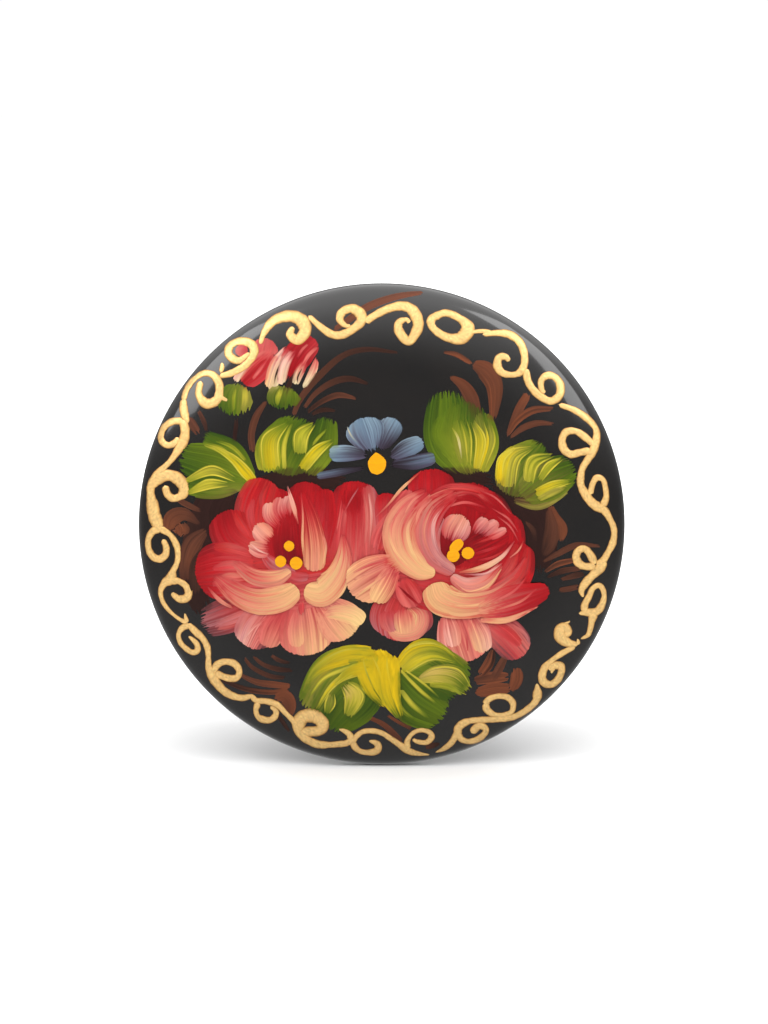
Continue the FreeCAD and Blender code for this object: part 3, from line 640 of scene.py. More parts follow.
layStrokes(leaves, [
    # cups of the buds
    ("leaf", ((-16.2, 16.6), (-16.8, 14.8), (-16.8, 12.8)), (2.2, 4.0, 3.4),
     "olive green", "olive green forest"),
    ("lick", ((-15.8, 16.4), (-15.7, 14.8), (-16, 13.3)), (0.4, 0.8, 0.4), "lemon", "olive"),
    ("lick", ((-16.8, 16.2), (-17, 14.9), (-17, 13.3)), (0.2, 0.5, 0.2), "lime", "grass"),
    ("leaf", ((-10.8, 16.3), (-11.2, 15), (-11.2, 13.5)), (2.6, 4.0, 3.0), "green olive", "green forest"),
    ("lick", ((-11.4, 16.2), (-11.9, 15), (-12, 14)), (0.4, 0.7, 0.3), "lemon", "grass"),
])
print("stage: leaves and small flowers painted")

leftRose = newGroup(47)
layStrokes(leftRose, [
    # outer petals
    ("feather", ((-14.4, -8.8), (-17.6, -10.3), (-21, -11.5)), (2.6, 4.2, 3.4),
     "rose brick", "plum mauve plum"),
    ("feather", ((-14.2, -9.6), (-16.8, -10.9), (-19.4, -11.8)), (0.8, 1.6, 1.2),
     "rose pink", "pink mauve"),
    ("petal", ((-12.4, -9.2), (-14.4, -11.8), (-15.6, -14.2)), (2.6, 4.8, 4.0),
     "rose pink", "plum pink pale mauve"),
    ("petal", ((-11.4, -9.6), (-12.6, -12), (-13.4, -14.2)), (1.6, 3.0, 2.4), "rose", "blush pink"),
    ("line", ((-13.2, -10.6), (-14.8, -11.8), (-16, -13.2)), (0.2, 0.3, 0.15), "pink", "pale"),
    ("petal", ((-9.2, -8.2), (-8.9, -12), (-8.6, -15.2)), (3.0, 6.0, 5.8),
     "rose pink rose", "blush cream blush pink"),
    ("petal", ((-9.8, -9.8), (-10, -12.2), (-9.8, -14.2)), (0.8, 1.8, 1.6), "pink", "cream blush"),
    ("petal", ((-7, -9), (-5.1, -10.9), (-3.4, -12.8)), (2.6, 5.2, 5.4),
     "pink blush", "butter cream blush"),
    ("crescent", ((-2.2, -11.4), (-3.2, -10.5), (-5.2, -10.1), (-6.8, -10.4)), (1.8, 2.2, 1.8, 0.8),
     "butter", "cream blush"),
    # underpainting
    ("fill", ((-18.6, -4.6), (-13, -3.4), (-4.4, -2.6)), (4, 10, 9), "rose brick", "rose brick"),
    ("fill", ((-14.6, -7.8), (-9.6, -7.8), (-5.4, -6.6)), (2.4, 4, 3), "rose", "rose pink"),
    ("fill", ((-1.6, -6.6), (-0.6, -2.6), (-0.6, 1.4)), (3.4, 3.6, 2.6), "rose pink", "rose brick"),
    # back of the bloom
    ("petal", ((-3.4, -7), (-3.2, 0), (-2.9, 5.3)), (4.4, 6.2, 4.6),
     "rose pink rose", "crimson red crimson mauve"),
    ("lick", ((-1.2, -5), (-1.1, 0), (-1.6, 4.8)), (1.2, 2.0, 1.4), "pink rose", "rose pink mauve"),
    ("lick", ((-4.9, -4), (-4.6, 0), (-4.2, 2.6)), (0.8, 1.0, 0.5), "rose", "rose pink"),
    ("petal", ((-6.8, -3), (-6.6, 1), (-6.4, 4.4)), (1.6, 2.8, 1.6), "rose crimson", "crimson red"),
    ("petal", ((-9, -2), (-8.8, 2), (-8.4, 5.2)), (3.0, 4.6, 3.8), "crimson rose", "crimson red crimson"),
    ("petal", ((-12.2, -2), (-12, 2), (-11.8, 4.4)), (2.6, 3.6, 2.2), "crimson", "crimson red"),
    ("petal", ((-14.4, -2.5), (-14.4, 2), (-13.2, 5.5)), (4.4, 5.2, 3.8),
     "rose brick", "brick red brick red"),
    ("petal", ((-14.6, -2.6), (-17, -0.9), (-18, 1.9)), (4.6, 5.4, 4.6),
     "rose brick", "red crimson brick"),
    ("petal", ((-14.4, -5), (-18.4, -5.2), (-21.6, -5.7)), (5.0, 6.8, 5.2),
     "pink rose", "crimson red crimson"),
    ("lick", ((-14.8, -3.4), (-17.6, -2.6), (-19.4, -2.4)), (0.8, 1.4, 0.7), "rose pink", "brick"),
    ("lick", ((-15, -4.8), (-17.6, -4.6), (-19.6, -5)), (0.7, 1.3, 0.5), "pink", "rose"),
    ("lick", ((-15.4, -6), (-17.8, -6), (-19.6, -6.9)), (0.7, 1.2, 0.5), "pink blush", "rose"),
    ("lick", ((-15, -1.6), (-16.4, 0.4), (-17, 1.6)), (0.6, 1.0, 0.4), "rose", "brick"),
    ("lick", ((-14.6, -1), (-15.2, 1.4), (-14.8, 3.2)), (0.7, 1.0, 0.4), "rose", "rose"),
    ("lick", ((-13.8, 1.4), (-13.8, 3.4), (-13.2, 4.8)), (0.3, 0.7, 0.3), "rose", "brick"),
    # throat
    ("petal", ((-10.8, 3), (-11, -1.4), (-10.6, -5.2)), (2.0, 4.8, 3.4),
     "crimson red", "throat throat crimson"),
    ("lick", ((-10, 2.8), (-9.8, 0), (-9.4, -3.6)), (0.6, 1.0, 0.8), "crimson", "crimson"),
    ("petal", ((-13.8, -3.2), (-12.4, -4.5), (-10, -5.4)), (0.8, 1.6, 0.9),
     "rose mauve", "rose mauve rose"),
    ("petal", ((-11, -5.4), (-9.8, -5.9), (-8.4, -5.9)), (0.8, 1.2, 0.9), "rose", "rose mauve"),
    # pale inner petals
    ("petal", ((-11.8, -0.2), (-12.9, 1.2), (-12.9, 2.8)), (0.7, 1.6, 1.5), "rose", "pale blush"),
    ("petal", ((-11.2, 0.4), (-11.9, 1.9), (-11.6, 3.4)), (0.6, 1.5, 1.4), "rose", "pink pale"),
    ("petal", ((-10.6, 1), (-10.9, 2.3), (-10.6, 3.6)), (0.5, 1.2, 1.1), "rose pink", "pale pink"),
    ("petal", ((-12.7, -1.6), (-13.6, -0.9), (-14.6, 0.2)), (1.8, 2.4, 1.9), "pink blush", "pale blush"),
    ("petal", ((-12.8, -2.7), (-14, -2.7), (-15.4, -2.1)), (1.3, 2.0, 1.4), "rose pink", "pale blush"),
    ("line", ((-12.9, -3.3), (-14.2, -2.8), (-15.3, -1.9)), (0.12, 0.2, 0.1), "pale", "pale"),
    ("petal", ((-9.3, 4.2), (-8.3, 1), (-7.8, -2.2), (-7.8, -5.3)), (0.9, 2.0, 2.7, 2.4),
     "crimson red", "cream blush cream"),
    ("line", ((-9.3, 4), (-9.1, 1.2), (-9.15, -1.6), (-8.9, -4.2)), (0.12, 0.22, 0.3, 0.15),
     "pink", "cream"),
    ("line", ((-6.9, -0.6), (-6.45, -2.4), (-6.8, -4.6)), (0.15, 0.3, 0.15), "pink", "cream"),
    ("line", ((-10.9, 4.8), (-10.2, 2.4), (-9.6, 0.2)), (0.12, 0.55, 0.2), "pale", "blush"),
    ("flow", ((-3.4, 1), (-3.4, 2.8), (-3.6, 4.4)), (1.6, 2.6, 2.0), "crimson", "crimson"),
    ("line", ((-2.1, 3.8), (-1.7, 1.2), (-1.9, -2)), (0.15, 0.35, 0.2), "pink", "pink"),
    ("line", ((-1.5, 4), (-1.2, 1.2), (-1.5, -2.6)), (0.12, 0.3, 0.15), "pale", "pink"),
    ("line", ((-4.6, 1), (-3.6, 3), (-2.6, 4.6)), (0.1, 0.2, 0.1), "rose", "mauve"),
    ("line", ((-4.6, 3.2), (-4.9, 1), (-5.3, -1)), (0.1, 0.2, 0.1), "rose", "pink"),
    # lower bowl
    ("lick", ((-18.6, -6), (-16.4, -7.2), (-13.4, -7.4), (-10.8, -6.8)), (0.6, 1.4, 1.6, 0.9),
     "rose", "pink rose"),
    ("crescent", ((-10.5, -5.2), (-12.2, -6), (-14.6, -5.9), (-17.2, -4.2)), (0.9, 1.9, 2.0, 0.7),
     "blush cream blush", "pink rose"),
    ("line", ((-10.9, -5), (-12.8, -5.4), (-14.8, -5.1), (-16.6, -4)), (0.12, 0.25, 0.25, 0.12),
     "cream", "pink"),
    ("line", ((-11, -6.7), (-13, -7.1), (-15.2, -6.6), (-16.8, -5.2)), (0.12, 0.22, 0.22, 0.12),
     "pink", "blush"),
    ("crescent", ((-9.7, -7.2), (-11.6, -8.4), (-14.4, -8.8), (-17.2, -7.7), (-19.4, -5.8)),
     (2.0, 3.1, 3.0, 2.3, 0.9), "butter cream butter", "blush pink rose"),
    ("line", ((-10.4, -6.6), (-12.6, -7.4), (-15, -7.4), (-17.4, -6.2)), (0.15, 0.3, 0.3, 0.12),
     "cream", "pink"),
    ("line", ((-12, -10), (-14.4, -10.2), (-16.8, -9), (-18.6, -7.2)), (0.12, 0.25, 0.25, 0.12),
     "cream", "rose"),
    ("line", ((-17.2, -9.6), (-18.8, -8.6), (-20.2, -7)), (0.2, 0.5, 0.15), "blush", "pink"),
    ("crescent", ((-9, -7.4), (-7, -7.8), (-5.2, -6), (-4.4, -3.6), (-4.5, -1)), (1.9, 3.3, 3.0, 1.9, 0.4),
     "butter cream", "cream blush rose"),
    ("line", ((-7.2, -5.8), (-5.6, -4.6), (-4.9, -2.8), (-4.6, -0.8)), (0.12, 0.3, 0.25, 0.1),
     "cream", "pink"),
    ("line", ((-6.2, -9.2), (-4.6, -7.8), (-3.8, -5.6), (-4, -3.4)), (0.12, 0.25, 0.25, 0.1),
     "butter", "blush"),
    ("lick", ((-9.2, -8.7), (-9.3, -9.4), (-9.3, -10.4)), (0.5, 0.8, 0.4), "rose", "rose"),
])
stamens = ["amber", "amber"]
for x, z, size in ((-10.7, -2.3, 1.24), (-11.7, -4.1, 1.36), (-9.9, -4.3, 1.5)):
    left, right = x - size / 2, x + size / 2
    layStroke(leftRose, "dab", ((left, z), (x, z), (right, z)), (size * 0.8, size, size * 0.8), *stamens)
print("stage: left rose painted")

rightRose = newGroup(59)
layStrokes(rightRose, [
    # outer petals
    ("petal", ((3, -7.4), (2.3, -10.6), (2, -13.5)), (4.6, 7.4, 5.4),
     "rose brick", "plum pink rose mauve"),
    ("crescent", ((0.9, -11.8), (2, -12.5), (3.9, -12), (4.3, -10.4), (3, -9.2)),
     (1.0, 1.9, 2.4, 2.2, 0.8), "cream blush", "butter blush pink"),
    ("petal", ((0.8, -9.6), (1, -11), (1.4, -12.4)), (2.0, 2.6, 1.8), "rose", "mauve pink"),
    ("petal", ((2.4, -9.4), (2.6, -11), (2.8, -12.6)), (1.6, 2.4, 2.2), "rose pink", "blush cream"),
    ("petal", ((11.4, -10.4), (14.2, -12.6), (16.5, -15.2)), (1.8, 4.2, 3.8),
     "rose pink", "plum pink rose plum"),
    ("lick", ((12.4, -11.2), (14.4, -12.4), (16.2, -14)), (0.8, 1.6, 1.0), "rose", "brick rose"),
    ("line", ((15, -11.4), (16.6, -12.6), (17.3, -14)), (0.15, 0.35, 0.2), "pink", "mauve"),
    ("petal", ((8.4, -9.4), (9.4, -12.6), (10.4, -15.8)), (3.6, 6.2, 5.8),
     "rose pink", "pale pink blush pale"),
    ("petal", ((10.4, -10.6), (11.4, -12.8), (11.9, -14.8)), (1.4, 2.4, 2.0), "pink blush", "pale cream"),
    ("petal", ((7.6, -10.4), (8.1, -12.2), (8.5, -14.2)), (1.0, 2.0, 1.6), "pink", "blush pale"),
    ("line", ((9.2, -11), (9.8, -13), (10, -14.8)), (0.1, 0.25, 0.15), "pink", "rose"),
    # underpainting
    ("fill", ((-0.4, -1), (7, -1.6), (14.6, -2.8)), (7, 11, 6.5), "rose brick", "crimson"),
    ("fill", ((0.6, -6.2), (8, -7.6), (15.6, -7)), (4, 5.4, 4.0), "rose", "brick red"),
    # back of the bloom
    ("petal", ((5.6, 2), (5.7, 4.6), (5.6, 6.7)), (4.0, 5.4, 4.6), "rose crimson", "crimson red crimson"),
    ("petal", ((0.4, -1), (0.5, 2.4), (0.4, 3.9)), (2.0, 2.6, 1.8), "rose pink", "red crimson"),
    ("lick", ((-0.4, -3), (0.3, -0.6), (1.6, 1.8)), (2.4, 2.4, 1.0), "rose pink", "pink rose"),
    ("petal", ((1.6, 0), (2.2, 2), (3.4, 4.2)), (2.0, 2.6, 1.6), "rose pink", "rose pink"),
    ("petal", ((9.2, -4), (10, 0.6), (10.6, 5.1)), (7, 8, 5.8), "crimson", "brick crimson crimson"),
    ("petal", ((10.5, -7), (13.2, -2), (14.1, 1.9)), (6, 6.8, 3.8), "brick crimson", "crimson red"),
    ("petal", ((11.6, -8.6), (15, -5.4), (16.1, -1.8)), (4.4, 5.0, 3.0), "rose brick", "crimson red"),
    ("lick", ((14.8, -7.4), (16.4, -5), (16.9, -2.4)), (0.8, 1.4, 0.7), "rose", "brick"),
    ("lick", ((12.8, -7), (14.8, -4.6), (15.6, -2)), (0.8, 1.4, 0.6), "rose pink", "brick"),
    ("lick", ((5, 3.4), (8, 4.6), (11.6, 4.1), (13.8, 2.4)), (0.3, 0.9, 0.8, 0.3), "rose pink", "brick"),
    ("lick", ((6.4, 2.8), (9, 3.7), (12, 3), (14.6, 1)), (0.3, 0.8, 0.7, 0.2), "pink", "brick"),
    ("flow", ((11, 3.9), (13.1, 2.4), (15, -0.6)), (1.2, 2.6, 1.6), "crimson", "crimson"),
    ("flow", ((8, 3), (10.2, 3.1), (12.4, 1.6)), (0.9, 1.8, 1.0), "crimson", "crimson"),
    ("line", ((7.4, 2.2), (9.6, 2.8), (12, 2.2)), (0.15, 0.35, 0.15), "pink", "rose"),
    ("line", ((10.6, 4.4), (13, 3.4), (15, 1.4)), (0.1, 0.22, 0.1), "rose", "pink"),
    ("line", ((12.6, 2.2), (14.6, 0.9), (15.8, -0.8)), (0.1, 0.25, 0.1), "pink", "rose"),
    ("line", ((13.2, 1.3), (14.8, 0), (15.8, -1.8)), (0.1, 0.22, 0.1), "pink", "rose"),
    # throat
    ("petal", ((8.4, 0.8), (8.3, -2.2), (8.8, -4.6)), (3.4, 3.8, 2.6), "crimson", "throat"),
    ("petal", ((9, -3.4), (11.6, -2.2), (14.6, -0.8)), (2.0, 3.6, 2.0), "throat crimson", "crimson"),
    ("line", ((10.6, -3.2), (12.4, -2.7), (14.4, -1.9)), (0.2, 0.35, 0.15), "rose", "red"),
    ("line", ((10.4, -2.2), (12.2, -1.5), (14, -0.9)), (0.15, 0.3, 0.15), "brick", "rose"),
    ("line", ((11, -4), (12.8, -3.6), (14.6, -2.6)), (0.15, 0.3, 0.15), "rose", "brick"),
    # pale inner petals
    ("petal", ((12.2, -1.4), (13.2, -0.9), (14.4, -0.3)), (0.6, 1.1, 0.8), "rose", "pale pink"),
    ("petal", ((11.4, -1.2), (12.4, -0.2), (13.4, 0.6)), (0.7, 1.4, 1.2), "rose mauve", "pale pink"),
    ("petal", ((10.6, -1), (11.4, 0.1), (12.2, 0.9)), (0.7, 1.5, 1.3), "rose mauve", "pale pink"),
    ("petal", ((7.9, -1.9), (8.5, -0.4), (9.4, 1.3)), (2.2, 3.4, 2.7), "rose mauve", "pale blush pale"),
    ("crescent", ((8.4, -5.4), (5.9, -3.6), (5, -0.8), (5.9, 2), (8.6, 4.1)), (1.4, 2.4, 3.0, 3.0, 1.4),
     "pink mauve pale", "blush pink rose"),
    ("line", ((7.6, -4.4), (6.2, -2.2), (6, 0.4), (7.2, 2.4)), (0.15, 0.45, 0.45, 0.15), "mauve", "pale"),
    ("line", ((7.2, -5), (5.4, -2.8), (4.9, -0.2), (6, 2.6)), (0.12, 0.3, 0.3, 0.12), "pink", "blush"),
    ("line", ((6.8, -3.4), (6.6, -1), (7.2, 1)), (0.12, 0.3, 0.12), "pink", "mauve"),
    ("crescent", ((6.2, -5.5), (4.4, -5), (2.5, -3), (2, -0.4), (3.2, 2), (5.4, 4)),
     (0.9, 2.6, 3.7, 3.8, 3.2, 1.4), "cream butter", "blush pink rose"),
    ("line", ((4.6, -4.6), (3.4, -2.6), (3, -0.2), (4, 1.8)), (0.15, 0.4, 0.4, 0.15), "butter", "blush"),
    ("line", ((3, -4.6), (1.4, -2.6), (0.9, -0.2), (2, 2)), (0.12, 0.3, 0.3, 0.12), "butter", "pink"),
    ("line", ((3.9, 0), (4.4, 1.8), (5.8, 3.2)), (0.12, 0.4, 0.15), "blush", "pink"),
    ("line", ((2.6, 1.4), (3.6, 3), (5, 4)), (0.12, 0.3, 0.12), "blush", "pink"),
    ("line", ((-0.7, 1.1), (0.8, 2.6), (2.3, 4.4), (4.6, 6.5)), (0.1, 0.2, 0.35, 0.12), "pink", "cream"),
    # lower bowl
    ("petal", ((2, -4.2), (-0.8, -5.8), (-3.7, -7.7)), (2.6, 5.0, 5.0), "rose pink", "cream blush cream"),
    ("petal", ((1.4, -4.8), (0.4, -6.8), (-0.8, -8.9)), (1.6, 2.6, 2.2), "rose pink", "cream"),
    ("line", ((1, -4.2), (-1, -5.2), (-3.2, -6.2)), (0.15, 0.4, 0.3), "pink", "blush"),
    ("line", ((1, -5.2), (-0.8, -6.6), (-2.8, -8)), (0.15, 0.35, 0.25), "pink", "butter"),
    ("line", ((0.4, -4), (-1.6, -4.6), (-3.4, -5.4)), (0.15, 0.3, 0.2), "rose", "pink"),
    ("petal", ((2.2, -6), (3, -7.6), (4, -9.4)), (1.6, 2.8, 2.6), "brick rose", "rose pink"),
    ("line", ((1.8, -6.8), (3.2, -8.2), (4.8, -9.6)), (0.12, 0.3, 0.15), "throat", "crimson"),
    ("crescent", ((8, -5.8), (9.8, -6.9), (12, -6.4), (13.8, -4.4)), (1.0, 1.9, 1.8, 0.6),
     "pale pink", "pink blush"),
    ("line", ((8.2, -6.3), (9.9, -7.7), (12.2, -7), (13.9, -4.9)), (0.15, 0.5, 0.4, 0.12),
     "blush", "cream"),
    ("line", ((8.8, -5.4), (11.4, -4.9), (13.8, -3.6), (15.4, -1.6)), (0.15, 0.7, 0.5, 0.12),
     "cream", "pale"),
    ("line", ((9.4, -5.6), (12, -5.5), (14, -4.2)), (0.12, 0.3, 0.12), "mauve", "pale"),
    ("line", ((14.6, -3.8), (15.8, -2.8), (16.4, -1.6)), (0.1, 0.22, 0.1), "pink", "blush"),
    ("lick", ((9, -8.4), (12.4, -8), (15.4, -6), (16.8, -3.6)), (0.8, 1.6, 1.6, 0.5),
     "pink", "rose brick"),
    ("crescent", ((6, -6.6), (6.9, -8.4), (9.8, -9.3), (13.4, -8.6), (16.6, -6.4)),
     (2.6, 3.9, 3.0, 2.6, 1.2), "butter cream butter", "rose pink brick"),
    ("line", ((7, -7.2), (9.4, -8), (12.6, -7.6), (15.4, -5.8)), (0.2, 0.45, 0.35, 0.12),
     "butter", "pink"),
    ("line", ((6, -9), (8.6, -10.3), (11.6, -10), (14.2, -9)), (0.2, 0.4, 0.3, 0.12), "cream", "blush"),
    ("line", ((8, -9.2), (10.8, -9.2), (13.6, -8.2), (15.8, -6.6)), (0.15, 0.3, 0.25, 0.1),
     "butter", "pink"),
    ("petal", ((11, -10), (15, -8.8), (19.4, -7.3)), (1.6, 3.8, 1.7), "pink rose", "red crimson"),
    ("line", ((11.2, -11), (14.6, -10.9), (18.2, -9.3)), (0.5, 0.7, 0.12), "cream", "blush"),
    ("line", ((13, -9.8), (16, -8.8), (18, -7.2)), (0.12, 0.3, 0.12), "blush", "rose"),
    ("line", ((12.4, -9), (15.2, -7.6), (16.8, -5.8)), (0.12, 0.3, 0.12), "pink", "rose"),
])
layStroke(rightRose, "dab", ((8, -3), (8.6, -2.3), (9.3, -1.6)), (0.9, 1.2, 1.0), *stamens)
layStroke(rightRose, "dab", ((7.5, -3.5), (8.25, -3.4), (9, -3.3)), (1.2, 1.5, 1.2), *stamens)
layStroke(rightRose, "dab", ((9.2, -3.1), (9.95, -3.1), (10.7, -3.1)), (1.1, 1.4, 1.1), *stamens)
print("stage: right rose painted")

layStrokes(leaves, [
    # bright middle
    ("fill", ((-1.4, -14.4), (-0.2, -17.4), (1.2, -21.2)), (3.6, 4.4, 1.4), "yellow", "yellow"),
    # bottom left leaf
    ("leaf", ((-1, -17.4), (-4, -20.2), (-6.4, -23.8)), (3, 7.4, 4.4), "green grass", "green forest"),
    ("leaf", ((-0.4, -18), (-1.8, -20.6), (-4, -23)), (1.5, 3.4, 2.4), "forest green", "green forest"),
    ("leaf", ((-0.6, -15.4), (-5.6, -16.8), (-8.6, -21.6)), (2.4, 4.4, 3.4),
     "grass lime", "green olive green"),
    ("flow", ((-0.6, -15), (-4.2, -15), (-7.2, -16.8), (-9, -19.6)), (1.8, 2.0, 1.8, 0.8),
     "yellow", "olive lime"),
    ("line", ((-1.4, -14.4), (-4.6, -14.6), (-7.6, -16.4), (-9, -18.6)), (0.1, 0.25, 0.2, 0.1),
     "lemon", "lime"),
    ("lick", ((-8.4, -20), (-6.6, -17.8), (-3.4, -16.4)), (0.3, 0.5, 0.4), "lime", "lemon"),
    ("lick", ((-8.8, -18.6), (-6.8, -16.8), (-3.6, -15.8)), (0.3, 0.6, 0.7), "lime", "yellow"),
    ("lick", ((-7.6, -21.6), (-6, -19), (-4.2, -17.6), (-1.6, -16.8)), (0.3, 0.6, 0.9, 1.2),
     "lime lemon", "yellow"),
    ("lick", ((-5.8, -19.6), (-6.0, -20.8), (-6.4, -22)), (0.7, 1.4, 0.6), "olive", "grass"),
    ("lick", ((-4.4, -18.4), (-3.2, -20), (-4, -22.4)), (1.2, 2.6, 1.0), "lemon cream", "lemon lime"),
    # bottom right leaf
    ("leaf", ((1.6, -17.4), (4, -20.2), (7.4, -22.4)), (3, 6.4, 4.4), "green forest", "green"),
    ("leaf", ((2.2, -16.6), (6.2, -17), (9.8, -19)), (2, 5.6, 5.0), "grass green", "green forest"),
    ("leaf", ((2.0, -16.2), (5.2, -14.6), (9.6, -17.4)), (1.4, 3.0, 2.2), "yellow lime", "green forest"),
    ("lick", ((8.8, -15.8), (6.2, -14.7), (3.9, -15.2), (2.2, -16.8)), (0.8, 2.3, 2.9, 2.0),
     "grass lime", "lemon yellow"),
    ("line", ((2.4, -15), (3.6, -13.9), (5.6, -13.5), (7.6, -14.4)), (0.1, 0.25, 0.2, 0.1),
     "lemon", "lime"),
    ("lick", ((10.2, -19.4), (8.4, -17.9), (6.3, -17.5), (4.3, -18)), (1.2, 3.0, 2.3, 0.7),
     "grass lime", "lemon cream"),
    ("lick", ((9.6, -19.8), (7.6, -18.8), (5.4, -18.6)), (0.4, 0.8, 0.5), "grass", "lime"),
    ("lick", ((6.4, -20.9), (4.4, -19.2), (2.2, -16.9)), (0.3, 0.5, 0.3), "lime", "lemon"),
    ("lick", ((6.8, -20.2), (4.8, -18.4), (2.8, -16.9)), (0.2, 0.3, 0.2), "lime", "lemon"),
    ("lick", ((5.6, -22.6), (3.6, -21), (2.2, -19.2)), (0.4, 0.7, 0.5), "grass", "lemon"),
    ("lick", ((4, -22.9), (2.4, -21.6), (1.4, -19.8)), (0.3, 0.6, 0.5), "grass", "lime"),
    # the bright middle runs over both leaves
    ("flow", ((0.8, -21.2), (-0.6, -18.4), (-1.8, -15.2)), (1.4, 3.6, 3.2), "yellow lime", "yellow"),
    ("flow", ((2.2, -22.7), (0.9, -19.4), (0.8, -15)), (0.7, 2.6, 2.6), "lime yellow", "yellow"),
    ("flow", ((-0.8, -16.4), (-3.4, -16.9), (-5.6, -18.6)), (1.6, 1.3, 0.5), "yellow", "lime"),
    ("line", ((-1.2, -15), (-0.3, -17), (0.4, -20)), (0.1, 0.25, 0.15), "lemon", "yellow"),
    ("line", ((0.6, -15), (0.7, -17), (1.4, -20.4)), (0.1, 0.25, 0.15), "lemon", "yellow"),
    ("line", ((-2.2, -15.2), (-1.8, -17), (-0.8, -19.4)), (0.1, 0.2, 0.12), "lemon", "lime"),
], "lemon")
print("stage: bottom leaves painted")

for name, group in (("brown_scroll", brownScroll), ("green_leaves", leaves), ("small_flowers", smallFlowers),
                    ("left_rose", leftRose), ("right_rose", rightRose)):
    paintPiece(name, group, flowerPaint)

goldLine = {
    "height": 0.06,         # mm the middle of the line stands up
    "columns": 8,
    "stepLength": 0.16,     # mm between the points along a line
    "broad": 1.12,          # share of the listed widths
    "wobble": 0.035,        # how unevenly the line runs, as a share of its width
    "strength": 0.80,       # how much light the gold gives back
}


# A raised line of gold paint with round ends; path and widths in mm.
def layGold(group, path, widths):
    rng = group["rng"]
    points = [Vector(point) for point in path]
    length = sum((b - a).length for a, b in zip(points, points[1:]))
    columns, rows = goldLine["columns"], max(8, int(length / goldLine["stepLength"]))
    spine = [smoothAlong(points, row / rows) for row in range(rows + 1)]
    phases = [rng.uniform(0, 6.3) for _ in range(4)]
    group["strokes"] += 1
    start = len(group["verts"])
    spots, raised = [], []
    for column in range(columns + 1):
        across = column / columns * 2 - 1
        for row in range(rows + 1):
            along = row / rows
            before, after = spine[max(row - 1, 0)], spine[min(row + 1, rows)]
            direction = (after - before).normalized()
            width = max(0.06, smoothAlong(list(widths), along))
            run = along * length
            uneven = math.sin(run * 3.1 + phases[0]) + math.sin(run * 7.3 + phases[1])
            width *= goldLine["broad"] + goldLine["wobble"] * uneven
            toEnd = min(run, length - run) / (width / 2)
            if toEnd < 1:
                width *= math.sqrt(max(0.0, 1 - (1 - toEnd) ** 2)) + 0.02
            spots.append(spine[row] + Vector((direction.y, -direction.x)) * (across * width / 2))
            swell = 1 + 0.16 * math.sin(run * 1.7 + phases[2]) + 0.08 * math.sin(run * 9 + phases[3])
            raised.append(goldLine["height"] * swell * min(1.0, width / 0.7) * (1 - across ** 4))
            # Colour runs from dark gold at the edges to pale gold along the crown: a painted highlight along
            # the crown and painted shade at the sides of the bead.
            body = blendAcross(colourList("goldDark gold goldLight goldLight"), 1 - across ** 2)
            tone = 1 + rng.gauss(0, 0.05)
            group["colours"].append([toLinear(value * tone, goldLine["strength"]) for value in body] + [1.0])
            group["brush"].append((across * width / 2, run, group["strokes"] * 3.7))
    lift = paint["firstLift"]
    group["verts"] += [onPainting(spot, lift + more) for spot, more in zip(spots, raised)]
    joinColumns(group["faces"], start, columns, rows)


